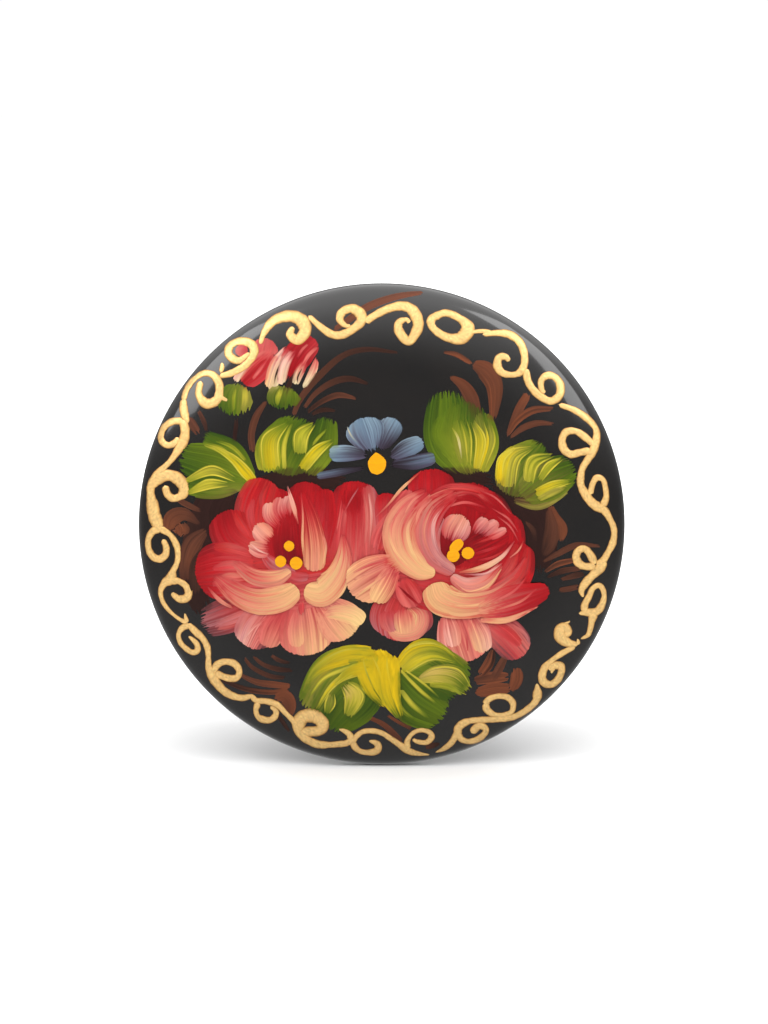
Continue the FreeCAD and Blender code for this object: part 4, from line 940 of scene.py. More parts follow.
goldPaint = paintMaterial("goldPaint", 0.36, metal=0.4, coat=0.25, streakScale=(3.0, 3.0, 1.0), depth=0.7)
goldScroll = newGroup(71)
goldPaths = [
    # over the top, left to right
    (((-14, 21.2), (-13.5, 22.6), (-12.4, 24), (-10.6, 24.5), (-9.2, 23.9), (-8.8, 22.6), (-9.7, 21.6),
      (-10.5, 22.3), (-10.2, 23.2)),
     (0.45, 0.7, 1.1, 1.3, 1.4, 1.3, 1.1, 0.9, 0.5)),
    (((-8.4, 24.5), (-7.2, 23.3), (-5.8, 22.3), (-4.6, 22.2), (-3.4, 22.8), (-2.4, 23.7), (-2.4, 24.6),
      (-3.4, 25.3), (-4.5, 24.9), (-4.8, 24), (-4.2, 23.3), (-3.6, 23.3)),
     (0.5, 0.7, 0.85, 0.9, 0.9, 1.0, 1.2, 1.0, 0.9, 0.8, 0.5, 0.3)),
    (((-1.9, 23.7), (-0.9, 24.4), (0.6, 25.2), (2.2, 25.6), (3.4, 25.2), (4.1, 24), (4.1, 22.9),
      (3.1, 21.4), (2, 22.6), (2, 23.6), (2.8, 24), (3.2, 23.6)),
     (0.9, 0.8, 0.9, 1.0, 1.2, 1.2, 1.1, 0.9, 1.0, 0.8, 0.5, 0.4)),
    (((5.8, 24.2), (7.4, 24.8), (9.2, 24), (9.9, 22.9), (9, 21.8), (7.3, 22), (5.9, 23), (5.7, 24),
      (6.6, 24.6)),
     (0.9, 0.8, 0.9, 1.5, 1.3, 0.9, 0.8, 0.9, 0.8)),
    (((9.8, 22.5), (11.5, 22.7), (12.6, 22.6)), (0.4, 0.45, 0.45)),
    (((11.6, 22.3), (13.2, 22.5), (14.6, 22.4), (15.8, 21.6), (16.4, 20.2), (16.4, 18.8), (15.9, 17.9),
      (15, 17.6), (13.9, 17.8), (13.3, 18.6), (13.5, 19.6), (14.2, 19.7), (14.7, 19.2)),
     (0.5, 0.7, 0.9, 0.9, 0.8, 0.8, 0.8, 0.6, 0.8, 0.9, 0.8, 0.7, 0.5)),
    (((16.6, 18.4), (16.8, 17), (17.5, 15.8), (18.6, 14.9), (19.6, 14.6), (20.5, 15.3), (20.6, 16.5),
      (20, 17.4), (19.1, 17.6), (18.4, 17), (18.4, 16), (18.8, 15.5)),
     (0.7, 0.8, 0.8, 0.8, 0.8, 0.9, 0.9, 0.8, 0.8, 0.7, 0.6, 0.4)),
    # down the right
    (((20.4, 14.2), (22.2, 13.6), (23.8, 12.6), (24.8, 11.4), (24.8, 10), (24.4, 8.8), (23.8, 7.8),
      (23.2, 6.8), (23, 5.8), (23, 4.9), (23.4, 4), (24.2, 2.9), (25, 2.3), (25.8, 1.9), (26.4, 1),
      (26.9, 0), (27, -1), (26.8, -2), (26.3, -3), (25.7, -4), (25, -4.6)),
     (0.5, 0.7, 0.8, 0.7, 0.9, 0.9, 0.8, 0.7, 0.8, 0.8, 0.9, 1.0, 1.0, 0.9, 0.7, 0.7, 0.7, 0.8, 0.7, 0.8,
      1.1)),
    (((24.6, 9.5), (23.4, 10.5), (22.4, 11.1), (21.3, 11), (20.8, 10.1), (21, 9), (21.8, 8.4), (22.8, 8.6),
      (24.2, 8.9)),
     (0.7, 0.8, 0.7, 0.8, 0.8, 0.9, 0.8, 0.8, 0.8)),
    (((24.1, 3.7), (24.4, 5), (24.9, 5.7), (25.6, 5.5), (25.9, 4.6), (26, 3.4), (25.6, 2.4)),
     (0.7, 0.65, 0.7, 0.6, 0.6, 0.7, 0.9)),
    (((24.8, -4.4), (24.1, -3.2), (23.5, -2.6), (22.8, -2.8), (22.5, -3.6), (22.9, -4.4), (23.8, -4.7),
      (24.8, -4.6)),
     (0.9, 0.8, 0.8, 0.8, 0.9, 0.9, 0.8, 1.0)),
    (((26, -4), (25.3, -4.9), (24.4, -5.8), (23.6, -6.7), (23.2, -7.5), (23.4, -8.3)),
     (0.8, 1.1, 0.9, 0.9, 0.7, 0.2)),
    (((23.6, -10), (23.6, -9.2), (24.1, -8.2), (24.5, -7.3), (25.2, -6.9), (25.7, -7.3), (25.9, -8.2),
      (25.6, -9.3), (25, -10), (24, -10.1), (22.9, -10.2)),
     (0.8, 0.8, 0.7, 0.6, 0.6, 0.6, 0.6, 0.8, 0.9, 0.8, 0.3)),
    (((24.7, -10.1), (24.5, -11), (24.3, -12.1), (24, -12.8), (23.2, -13.2)), (1.2, 0.8, 0.6, 0.5, 0.2)),
    (((22.9, -13.9), (21.8, -13.7), (20.9, -13.1), (20.7, -12.3), (21.2, -11.8), (21.7, -12.3),
      (21.4, -12.9)),
     (0.5, 0.9, 1.3, 1.3, 1.0, 0.9, 0.7)),
    (((21.1, -11.5), (21.6, -11.3), (21.9, -11.1)), (0.4, 0.25, 0.1)),
    (((22.9, -13.9), (22.9, -13.5), (22.8, -13.2)), (0.5, 0.35, 0.15)),
    # along the bottom, right to left
    (((22.6, -14.1), (21.2, -14.8), (19.9, -15.7), (19, -16.6), (18.7, -17.7), (19, -18.4), (19.8, -18.6),
      (20.6, -18), (21, -17), (20.8, -16.4), (20, -16.4), (19.5, -16.9)),
     (0.5, 0.65, 0.6, 0.8, 0.9, 0.9, 0.8, 0.8, 0.8, 0.9, 0.8, 0.6)),
    (((20.1, -16.6), (19.9, -16.9), (19.8, -17.3)), (0.6, 0.4, 0.15)),
    (((9, -24.6), (8.9, -23.9), (9.4, -23.3), (10.4, -22.9), (12, -22.8), (14, -22.7), (15.6, -22.4),
      (17, -21.6), (18, -20.6), (18.2, -19.6), (18.1, -18.5)),
     (0.8, 0.9, 0.9, 0.7, 0.7, 0.7, 0.7, 0.7, 0.8, 1.0, 0.2)),
    (((12.1, -21), (12.4, -20.4), (13.4, -20), (14.6, -20.1), (15.3, -20.8), (15.2, -21.8), (14.3, -22.2),
      (13.2, -22.2), (12.3, -21.6), (12.1, -20.8)),
     (0.8, 0.7, 0.6, 0.7, 0.7, 0.6, 0.5, 0.6, 0.8, 0.8)),
    (((8.9, -24.4), (9.3, -25.1), (10.2, -25.4), (11.3, -25.1), (12.1, -24.4), (12.1, -23.8),
      (11.4, -23.5), (10.9, -23.9), (10.5, -24.4)),
     (0.8, 0.7, 0.6, 0.7, 0.7, 0.7, 0.8, 0.9, 0.6)),
    (((6.3, -26.7), (7.2, -26.3), (8, -25.7), (8.5, -25), (8.9, -24.2)), (0.1, 0.5, 0.7, 0.7, 0.9)),
    (((3, -26.3), (3, -25.3), (3.6, -24.4), (4.6, -24.0), (5.6, -24.3), (5.8, -24.9), (5.2, -25.5),
      (4.2, -25.4), (3.6, -25.1)),
     (0.9, 0.6, 0.5, 0.5, 0.6, 0.7, 0.6, 0.5, 0.3)),
    (((-3.5, -25.6), (-3, -24.8), (-2.2, -24.2), (-1, -24.1), (0.1, -24.4), (1, -25), (2, -25.7),
      (2.8, -26.3), (3.6, -26.7), (4.6, -26.9), (5.6, -27)),
     (0.7, 0.6, 0.6, 0.6, 0.6, 0.6, 0.7, 0.8, 0.7, 0.4, 0.15)),
    (((-3.4, -25.4), (-3.1, -26.1), (-2.4, -26.6), (-1.4, -26.7), (-0.6, -26.5), (-0.4, -25.9),
      (-0.8, -25.5), (-1.5, -25.3)),
     (0.8, 0.7, 0.6, 0.7, 0.8, 0.8, 0.6, 0.2)),
    (((-15.2, -20.1), (-14.6, -20.5), (-13.4, -20.6), (-12.2, -21), (-11.2, -22), (-10.3, -23),
      (-9.9, -24), (-9, -25), (-7.6, -25.7), (-6.2, -25.8), (-5, -25.7), (-4.2, -25.6), (-3.6, -25.2),
      (-3.8, -24.5), (-4.4, -24.1), (-5, -23.9)),
     (0.5, 0.6, 0.7, 0.7, 0.6, 0.6, 0.8, 0.9, 0.9, 0.7, 0.7, 0.7, 0.8, 0.7, 0.5, 0.15)),
    (((-9.7, -24.2), (-9.6, -22.9), (-8.8, -22.3), (-7.7, -22.4), (-6.9, -23.2), (-7.2, -24),
      (-8.2, -24.2), (-9.4, -24.2)),
     (1.2, 1.5, 1.5, 1.5, 1.4, 1.2, 1.1, 1.1)),
    (((-14.4, -20.7), (-14.7, -21.6), (-14.5, -22.4), (-13.8, -22.8), (-13, -22.8), (-12.4, -22.3),
      (-12.4, -21.7), (-13, -21.2)),
     (0.8, 0.6, 0.6, 0.8, 0.7, 0.7, 0.6, 0.35)),
    # up the left
    (((-22.6, -11.4), (-21.6, -12.4), (-20.8, -13.2), (-20.3, -14.2), (-20.2, -15.4), (-20.2, -16.4),
      (-19.9, -17.4), (-19.3, -18.4), (-18.4, -19.4), (-17.3, -20), (-16.2, -20.2), (-15.2, -20),
      (-14.7, -20.4)),
     (0.6, 0.8, 0.7, 0.7, 0.6, 0.7, 1.0, 1.0, 0.9, 0.8, 0.7, 0.5, 0.5)),
    (((-19.7, -17.2), (-19.2, -16.3), (-18.3, -15.9), (-17.2, -16.1), (-16.6, -16.9), (-16.8, -17.7),
      (-17.6, -17.9), (-18.7, -17.6), (-19.4, -17.2)),
     (0.8, 0.8, 0.7, 0.8, 0.7, 0.7, 0.8, 0.8, 0.8)),
    (((-22.3, -11.6), (-23.2, -11.9), (-23.7, -12.7), (-23.5, -13.6), (-22.9, -14.3), (-22.1, -14.8),
      (-21.5, -14.6), (-21.5, -13.9), (-22, -13.3), (-22.5, -12.9)),
     (0.7, 0.7, 0.5, 0.6, 0.6, 0.6, 0.7, 0.6, 0.5, 0.2)),
    (((-22.9, -10.2), (-22.8, -10.7), (-22.6, -11.3)), (0.15, 0.4, 0.5)),
    (((-24.2, -5), (-24.5, -6.1), (-25.2, -6.6), (-25.7, -7.4), (-25.7, -8.2), (-25.4, -9), (-24.9, -9.7),
      (-24.3, -10.3), (-23.5, -10.9), (-22.7, -11.3)),
     (0.7, 1.2, 0.9, 0.6, 0.5, 0.5, 0.45, 0.4, 0.4, 0.6)),
    (((-24.6, -6.4), (-23.6, -6.4), (-22.8, -6.9), (-22.4, -7.7), (-22.7, -8.4), (-23.5, -8.5),
      (-24.1, -8.1), (-24.4, -7.8)),
     (1.0, 0.7, 0.7, 0.9, 0.9, 0.8, 0.6, 0.4)),
    (((-25.7, -0.2), (-24.6, -0.9), (-23.9, -1.9), (-23.6, -3), (-23.7, -4.2), (-24.2, -5.2), (-24.4, -6)),
     (0.9, 0.6, 0.7, 0.7, 0.6, 0.7, 0.9)),
    (((-25.6, -0.3), (-26.5, -0.5), (-27.1, -1.4), (-27.1, -2.6), (-26.6, -3.5), (-25.8, -3.8),
      (-25.1, -3.3), (-25, -2.4), (-25.4, -1.5)),
     (0.9, 0.8, 0.7, 0.7, 0.8, 0.8, 0.8, 0.7, 0.5)),
    (((-23.0, 12.5), (-22.7, 11.2), (-22.9, 10), (-23.6, 8.8), (-24.4, 7.7), (-25.2, 6.9), (-26.1, 6),
      (-26.7, 5), (-26.8, 3.8), (-26.6, 2.6), (-26.4, 1.4), (-26, 0.4), (-25.6, -0.2)),
     (0.9, 1.0, 1.1, 0.9, 0.6, 0.7, 0.9, 0.9, 0.9, 1.3, 1.4, 1.3, 0.9)),
    (((-26.8, 4.6), (-26, 5.5), (-24.8, 6), (-23.6, 5.6), (-22.9, 4.7), (-22.9, 3.9), (-23.5, 3.4),
      (-24.2, 3.3), (-24.8, 3.8), (-25.1, 4.8)),
     (0.9, 1.2, 1.2, 1.3, 1.2, 1.1, 0.8, 0.8, 0.8, 0.9)),
    (((-22.9, 12.3), (-24.2, 12.3), (-25.2, 11.7), (-25.6, 10.6), (-25.3, 9.8), (-24.6, 9.5), (-23.9, 9.8),
      (-23.5, 10.4)),
     (0.8, 0.8, 0.8, 0.7, 0.7, 0.7, 0.7, 0.5)),
    (((-22.9, 15), (-22.9, 13.9), (-22.7, 12.9), (-22.3, 12.1)), (0.6, 0.9, 0.9, 0.3)),
    (((-20.9, 17), (-21.1, 15.4), (-20.2, 14.3), (-18.9, 14.8), (-18.7, 16.4), (-19.4, 17.6),
      (-20.6, 17.9), (-21.8, 17.2), (-22.6, 16), (-22.9, 14.8)),
     (0.7, 0.8, 1.1, 1.0, 0.9, 0.8, 0.7, 0.7, 0.7, 0.6)),
    (((-18.9, 15.3), (-18.3, 14.9), (-17.7, 14.6)), (0.5, 0.5, 0.3)),
    (((-15.2, 20.2), (-16.5, 19.3), (-17.6, 20), (-17.5, 21.1), (-16.4, 21.6), (-15, 21.2), (-14.7, 20.1),
      (-15.6, 18.8), (-17.1, 17.9), (-18.7, 17.5)),
     (0.4, 0.8, 0.9, 0.9, 0.9, 1.0, 0.9, 0.8, 0.8, 0.5)),
    (((-18.4, 19.1), (-18.4, 18.5), (-18.6, 17.9)), (0.3, 0.5, 0.4)),
]
for path, widths in goldPaths:
    layGold(goldScroll, path, widths)
paintPiece("gold_scroll", goldScroll, goldPaint)
print("stage: gold scroll painted")


clip = {
    "edge": 0.09,           # mm the cut edges of the sheet are rounded
    "barRise": 0.3,         # mm from the back of the disc to the bar
    "pinX": -22.5,
    "pinRise": 3.025,       # mm from the back of the disc to the middle of the pin
    "rivetX": 20.1,
    "glueHoles": (-8.0, 8.0),
}


# A point of the clip; rise is mm behind the flat back of the disc.
def behind(x, rise, z):
    return (x * mm, discHigh.y + rise * mm, z * mm)


# Places a flat sheet, seen from behind, at a height over the back of the disc.
def flatPlace(u, v, height):
    return behind(u, height, v)


# Places a form that is drawn in side view and runs across the clip.
def sidePlace(u, v, height):
    return behind(u, v, height)


# Places a turned form that stands up from the sheet at x.
def standingAt(x):
    return lambda u, v, height: behind(x + u, height, v)


def arcPoints(x, z, radius, first, last, steps=10):
    turns = [math.radians(first + (last - first) * step / steps) for step in range(steps + 1)]
    return [(x + radius * math.cos(turn), z + radius * math.sin(turn)) for turn in turns]


def roundHole(x, z, radius, steps=36):
    return arcPoints(x, z, radius, 360, 0, steps)[:-1]


# A rectangle with round corners, counter-clockwise, or clockwise for a window.
def roundPlate(left, right, low, high, corner, window=False):
    points = arcPoints(right - corner, high - corner, corner, 0, 90)
    points += arcPoints(left + corner, high - corner, corner, 90, 180)
    points += arcPoints(left + corner, low + corner, corner, 180, 270)
    points += arcPoints(right - corner, low + corner, corner, 270, 360)
    return points[::-1] if window else points


# Corners of a side view cut round by reach mm.
def softCorners(corners, reach):
    points = []
    for before, here, after in zip(corners[-1:] + corners[:-1], corners, corners[1:] + corners[:1]):
        here = Vector(here)
        start = here + (Vector(before) - here).normalized() * reach
        end = here + (Vector(after) - here).normalized() * reach
        for place in (0.0, 0.25, 0.5, 0.75, 1.0):
            soft = start * (1 - place) ** 2 + here * (2 * place * (1 - place)) + end * place ** 2
            points.append(tuple(soft))
    return points


# Both sides of a strip that follows a line in side view; the line is its inner face.
def stripOutline(line, thick):
    inner, outer = [], []
    for index, here in enumerate(line):
        before, after = Vector(line[max(index - 1, 0)]), Vector(line[min(index + 1, len(line) - 1)])
        along = (after - before).normalized()
        inner.append(tuple(here))
        outer.append((here[0] - along.y * thick, here[1] + along.x * thick))
    return inner + outer[::-1]


# The loop moved inward by inset; outer loops run counter-clockwise and holes clockwise.
def insetLoop(loop, inset):
    moved = []
    for before, here, after in zip(loop[-1:] + loop[:-1], loop, loop[1:] + loop[:1]):
        first = (Vector(here) - Vector(before)).normalized()
        second = (Vector(after) - Vector(here)).normalized()
        inward = Vector((-first.y - second.y, first.x + second.x)).normalized()
        reach = inset / max(0.5, inward.dot(Vector((-first.y, first.x))))
        moved.append((here[0] + inward.x * reach, here[1] + inward.y * reach))
    return moved


# Sheet cut to an outer loop and holes, from low to high, with rounded edges.
def cutSheet(loops, low, high, place, edge=clip["edge"]):
    quarter = [(edge * (1 - math.sin(math.radians(turn))), edge * (1 - math.cos(math.radians(turn))))
               for turn in (0, 30, 60, 90)]
    levels = [(inset, low + rise) for inset, rise in quarter]
    levels += [(inset, high - rise) for inset, rise in reversed(quarter)]
    verts, faces, starts = [], [], []
    for loop in loops:
        start, count = len(verts), len(loop)
        starts.append(start)
        for inset, height in levels:
            verts += [place(u, v, height) for u, v in insetLoop(loop, inset)]
        for level in range(len(levels) - 1):
            for step in range(count):
                a, b = start + level * count + step, start + level * count + (step + 1) % count
                faces.append((a, b, b + count, a + count))
    for level in (0, len(levels) - 1):
        flat = [[Vector((u, v, 0)) for u, v in insetLoop(loop, levels[level][0])] for loop in loops]
        numbers = []
        for start, loop in zip(starts, loops):
            numbers += range(start + level * len(loop), start + (level + 1) * len(loop))
        faces += [tuple(numbers[corner] for corner in triangle) for triangle in tessellate_polygon(flat)]
    return verts, faces


# A form turned about its own axis, from pairs of radius and height.
def turnedShell(pairs, place, turns=40):
    verts, faces = [], []
    for radius, height in pairs:
        for turn in range(turns):
            angle = 2 * math.pi * turn / turns
            verts.append(place(radius * math.cos(angle), radius * math.sin(angle), height))
    for ring in range(len(pairs) - 1):
        for turn in range(turns):
            a, b = ring * turns + turn, ring * turns + (turn + 1) % turns
            faces.append((a, b, b + turns, a + turns))
    faces.append(tuple(range(turns)))
    faces.append(tuple((len(pairs) - 1) * turns + turn for turn in reversed(range(turns))))
    return verts, faces


# Joins shells of verts and faces into one piece with crisp edges.
def joinPiece(name, shells, material, body, node):
    verts, faces = [], []
    for shellVerts, shellFaces in shells:
        faces += [tuple(index + len(verts) for index in face) for face in shellFaces]
        verts += shellVerts
    piece = makeObject(name, verts, faces, material)
    work = bmesh.new()
    work.from_mesh(piece.data)
    bmesh.ops.recalc_face_normals(work, faces=work.faces)
    work.to_mesh(piece.data)
    work.free()
    piece.data.set_sharp_from_angle(angle=math.radians(24))
    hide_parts(node)
    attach(piece, body)
    return piece


# Steel with fine grinding lines along x, soft stains and a worn brightness at random.
def steelMaterial(name, base, worn, roughness, lines=(60.0, 2600.0, 2600.0)):
    material, nodes, links, shader = newMaterial(name, Metallic=1.0)
    place = addNode(nodes, "ShaderNodeTexCoord").outputs["Object"]
    stretch = addNode(nodes, "ShaderNodeMapping")
    stretch.inputs["Scale"].default_value = lines
    links.new(place, stretch.inputs["Vector"])
    grind = addNode(nodes, "ShaderNodeTexNoise")
    grind.inputs["Scale"].default_value = 1.0
    grind.inputs["Detail"].default_value = 3.0
    links.new(stretch.outputs[0], grind.inputs["Vector"])
    stain = addNode(nodes, "ShaderNodeTexNoise")
    stain.inputs["Scale"].default_value = 240.0
    stain.inputs["Detail"].default_value = 5.0
    links.new(place, stain.inputs["Vector"])
    patches = ramp(nodes, links, stain.outputs[0], [(0.38, 0.0), (0.66, 1.0)])
    blotched = mixColours(nodes, links, patches, base, worn)
    fine = ramp(nodes, links, grind.outputs[0], [(0.25, 0.82), (0.7, 1.0)])
    links.new(mixColours(nodes, links, 0.7, blotched, fine, "MULTIPLY"), shader.inputs["Base Color"])
    gloss = ramp(nodes, links, grind.outputs[0], [(0.2, roughness * 0.75), (0.8, roughness * 1.3)])
    links.new(gloss, shader.inputs["Roughness"])
    bump(nodes, links, grind.outputs[0], 0.35, 0.00002, shader)
    return material


# Clear resin gone honey-coloured, with small bubbles and an uneven skin.
def resinMaterial():
    material, nodes, links, shader = newMaterial(
        "setResin", Roughness=0.14, Coat_Weight=0.6, Coat_Roughness=0.03, Subsurface_Weight=0.25)
    shader.inputs["Subsurface Radius"].default_value = (0.0012, 0.0007, 0.0003)
    place = addNode(nodes, "ShaderNodeTexCoord").outputs["Object"]
    cloud = addNode(nodes, "ShaderNodeTexNoise")
    cloud.inputs["Scale"].default_value = 420.0
    links.new(place, cloud.inputs["Vector"])
    bubbles = addNode(nodes, "ShaderNodeTexVoronoi")
    bubbles.inputs["Scale"].default_value = 1500.0
    links.new(place, bubbles.inputs["Vector"])
    pale = ramp(nodes, links, bubbles.outputs["Distance"], [(0.0, 1.0), (0.16, 1.0), (0.2, 0.0)])
    body = mixColours(nodes, links, cloud.outputs[0], (0.42, 0.25, 0.085, 1), (0.60, 0.42, 0.19, 1))
    links.new(mixColours(nodes, links, pale, body, (0.78, 0.66, 0.42, 1)), shader.inputs["Base Color"])
    bump(nodes, links, cloud.outputs[0], 0.5, 0.00006, shader)
    return material


plateSteel = steelMaterial("nickelPlate", (0.60, 0.575, 0.535, 1), (0.70, 0.68, 0.65, 1), 0.24)
springSteel = steelMaterial("springSteel", (0.40, 0.40, 0.41, 1), (0.55, 0.54, 0.53, 1), 0.30)
pinSteel = steelMaterial("polishedPin", (0.72, 0.71, 0.69, 1), (0.80, 0.79, 0.78, 1), 0.12,
                         (900.0, 900.0, 900.0))
setResin = resinMaterial()

pin = {
    # radius and height from the flat end of a head to the shank, in mm; both ends are alike
    "head": ((0.35, 4.02), (0.85, 3.96), (1.15, 3.82), (1.25, 3.66), (1.22, 3.52), (0.75, 3.52)),
}
bar = {
    "left": -24.6, "right": 25.0, "half": 3.5, "thick": 0.8, "corner": 2.2,
    "glueHole": 0.9, "rivetHole": 1.03,
    "earRadius": 1.9, "earThick": 0.7,
    "earFoot": 0.2,         # mm the ears reach into the bar
}


# Flat bar with its holes, and two ears round the pin.
def stampedBar():
    low = clip["barRise"]
    outline = roundPlate(bar["left"], bar["right"], -bar["half"], bar["half"], bar["corner"])
    holes = [roundHole(x, 0, bar["glueHole"]) for x in clip["glueHoles"]]
    holes.append(roundHole(clip["rivetX"], 0, bar["rivetHole"]))
    shells = [cutSheet([outline] + holes, low, low + bar["thick"], flatPlace)]
    foot = low + bar["earFoot"]
    ear = [(clip["pinX"] - bar["earRadius"], foot), (clip["pinX"] + bar["earRadius"], foot)]
    ear += arcPoints(clip["pinX"], clip["pinRise"], bar["earRadius"], 0, 180, 20)
    bore = roundHole(clip["pinX"], clip["pinRise"], pin["head"][-1][0])
    for side in (-1, 1):
        near, far = sorted((side * (bar["half"] - bar["earThick"]), side * bar["half"]))
        shells.append(cutSheet([ear, bore], near, far, sidePlace))
    joinPiece("bevelled_bar", shells, plateSteel, rootBody, "base_bar")


def headedPin():
    def place(u, v, height):
        return behind(clip["pinX"] + u, clip["pinRise"] + v, height)

    pairs = [(radius, -height) for radius, height in pin["head"]] + list(reversed(pin["head"]))
    joinPiece("headed_pin", [turnedShell(pairs, place)], pinSteel, rootBody, "hinge_pin")


stampedBar()
headedPin()
print("stage: bar and pin made")

arm = {
    "half": 2.6, "thick": 0.7,
    "curl": 1.5, "bore": 0.8,
    # round stretches in side view: middle, radius, first and last degree, and how many spans
    "arch": (-3.0, -23.61, 33.81, 126.2, 56.97, 56),
    "bend": (16.9, 7.0, 2.7, 236.97, 270, 10),
    "flatRise": 4.3, "neck": (17.2, 17.5),
    "endLeft": 16.9, "endRight": 23.3, "endHalf": 4.1, "endCorner": 1.3,
    "windowLeft": 18.0, "windowRight": 22.2, "windowHalf": 2.95, "windowCorner": 0.25,
}


# Curl round the pin, arch, bend, then a flat end with a window.
def archedArm():
    curl = arcPoints(clip["pinX"], clip["pinRise"], arm["curl"], 0, 360, 48)[:-1]
    bore = roundHole(clip["pinX"], clip["pinRise"], arm["bore"], 48)
    line = arcPoints(*arm["arch"]) + arcPoints(*arm["bend"])[1:]
    line += [(x, arm["flatRise"]) for x in arm["neck"]]
    end = roundPlate(arm["endLeft"], arm["endRight"], -arm["endHalf"], arm["endHalf"], arm["endCorner"])
    window = roundPlate(arm["windowLeft"], arm["windowRight"], -arm["windowHalf"], arm["windowHalf"],
                        arm["windowCorner"], window=True)
    shells = [
        cutSheet([curl, bore], -arm["half"], arm["half"], sidePlace),
        cutSheet([stripOutline(line, arm["thick"])], -arm["half"], arm["half"], sidePlace),
        cutSheet([end, window], arm["flatRise"], arm["flatRise"] + arm["thick"], flatPlace),
    ]
    joinPiece("arched_arm", shells, plateSteel, "arm", "clasp_arm")


bow = {
    "half": 1.7, "thick": 0.35, "edge": 0.07,
    "arch": (-2.0, -57.8, 60.8, 103.9, 76.02, 56),
    "bend": (13.5, 4.45, 3.35, 256.02, 270, 6),
    "footRise": 1.1, "foot": (18.0, 23.0),
}


# Thin strip, held at its right end and free at its left.
def bowedStrip():
    line = arcPoints(*bow["arch"]) + arcPoints(*bow["bend"])[1:]
    line += [(x, bow["footRise"]) for x in bow["foot"]]
    shell = cutSheet([stripOutline(line, bow["thick"])], -bow["half"], bow["half"], sidePlace, bow["edge"])
    joinPiece("bowed_strip", [shell], springSteel, rootBody, "bow_spring")


catch = {
    "left": 16.6, "right": 24.0, "half": 1.75, "corner": 0.6, "low": 1.45, "high": 1.95,
    # radius and height of the rivet, from its lower head over the plate to its dome, in mm
    "rivet": ((0.1, 0.04), (1.38, 0.04), (1.5, 0.13), (1.5, 0.3), (1.0, 0.3), (1.0, 1.95), (1.5, 1.95),
              (1.5, 2.02), (1.4, 2.2), (1.22, 2.35), (0.95, 2.49), (0.62, 2.59), (0.3, 2.64), (0.06, 2.65)),
}


def rivetedCover():
    outline = roundPlate(catch["left"], catch["right"], -catch["half"], catch["half"], catch["corner"])
    cover = cutSheet([outline], catch["low"], catch["high"], flatPlace)
    joinPiece("catch_cover", [cover], springSteel, rootBody, "catch_plate")
    dome = turnedShell(catch["rivet"], standingAt(clip["rivetX"]))
    joinPiece("domed_rivet", [dome], pinSteel, rootBody, "catch_rivet")


wing = {
    # seen along the clip: distance from its middle and height over the disc, in mm
    "leaf": ((1.9, 1.3), (2.3, 1.3), (2.3, 5.35), (2.85, 5.35), (2.85, 5.5), (2.3, 6.3), (1.9, 6.3)),
    "pad": ((1.9, 1.3), (2.3, 1.3), (2.3, 3.3), (5.8, 3.3), (5.8, 6.0), (5.4, 6.0), (5.4, 3.7), (1.9, 3.7)),
    "left": 18.4, "middle": 21.8, "right": 25.4,
    "ribs": 4, "firstRib": 4.3, "ribStep": 0.4, "ribLeft": 22.2, "ribRight": 25.0,
}


# One pinch wing: barbed leaf, then a flange that turns up into a ribbed finger pad.
def pinchWing(name, side, body, node):
    def across(u, v, height):
        return behind(height, v, side * u)

    shells = [cutSheet([softCorners(wing["leaf"], 0.06)], wing["left"], wing["middle"], across, 0.05),
              cutSheet([softCorners(wing["pad"], 0.16)], wing["middle"], wing["right"], across, 0.06)]
    for rib in range(wing["ribs"]):
        low = wing["firstRib"] + rib * wing["ribStep"]
        line = [(5.78, low), (5.86, low + 0.1), (5.78, low + 0.2), (5.7, low + 0.1)]
        shells.append(cutSheet([line], wing["ribLeft"], wing["ribRight"], across, 0.01))
    joinPiece(name, shells, springSteel, body, node)


archedArm()
bowedStrip()
rivetedCover()
pinchWing("upper_wing", 1, "wing_upper", "catch_wing_upper")
pinchWing("lower_wing", -1, "wing_lower", "catch_wing_lower")
print("stage: arm, spring and catch made")

bead = {
    "left": -20.4, "right": 15.4, "half": 2.85, "corner": 1.6, "thick": 0.3, "edge": 0.12,
    "spacing": 0.4,         # mm between the points of its wavy edge
    # radius and height of the stem and button in a glue hole, in mm
    "button": ((0.85, 0.2), (0.85, 1.1), (1.5, 1.1), (1.46, 1.22), (1.3, 1.34), (0.9, 1.42), (0.4, 1.45),
               (0.05, 1.45)),
}


# Resin squeezed out round the bar, with stems and buttons through its holes.
def resinBead():
    rng = random.Random(83)
    outline = roundPlate(bead["left"], bead["right"], -bead["half"], bead["half"], bead["corner"])
    dense = []
    for here, after in zip(outline, outline[1:] + outline[:1]):
        parts = max(1, int((Vector(after) - Vector(here)).length / bead["spacing"]))
        dense += [tuple(Vector(here).lerp(Vector(after), part / parts)) for part in range(parts)]
    phases = [rng.uniform(0, 6.3) for _ in range(3)]
    loop = []
    for index, (u, v) in enumerate(dense):
        swell = 0.05 * math.sin(index * 0.23 + phases[0]) + 0.04 * math.sin(index * 0.61 + phases[1])
        loop.append((u * (0.997 + swell * 0.02), v * (1 + swell)))
    shells = [cutSheet([loop], 0.0, bead["thick"], flatPlace, bead["edge"])]
    for x in clip["glueHoles"]:
        shells.append(turnedShell(bead["button"], standingAt(x)))
    joinPiece("resin_bead", shells, setResin, rootBody, "glue_bed")


resinBead()
print("stage: resin bead made")


studio = {
    "floorHalf": 3.0,
    "glowFrom": 0.030,       # m from the middle of the part to where the floor's painted glow starts; nearer, the floor stays grey as painted shade
    "glowFull": 0.062,       # and to where the painted glow makes it as white as the background
    "viewHeight": 8.0,       # degrees above the horizon
    "distance": 0.389,
    "lens": 120.0,
    "aim": (0.00026, discLow.y, 0.00222),
}
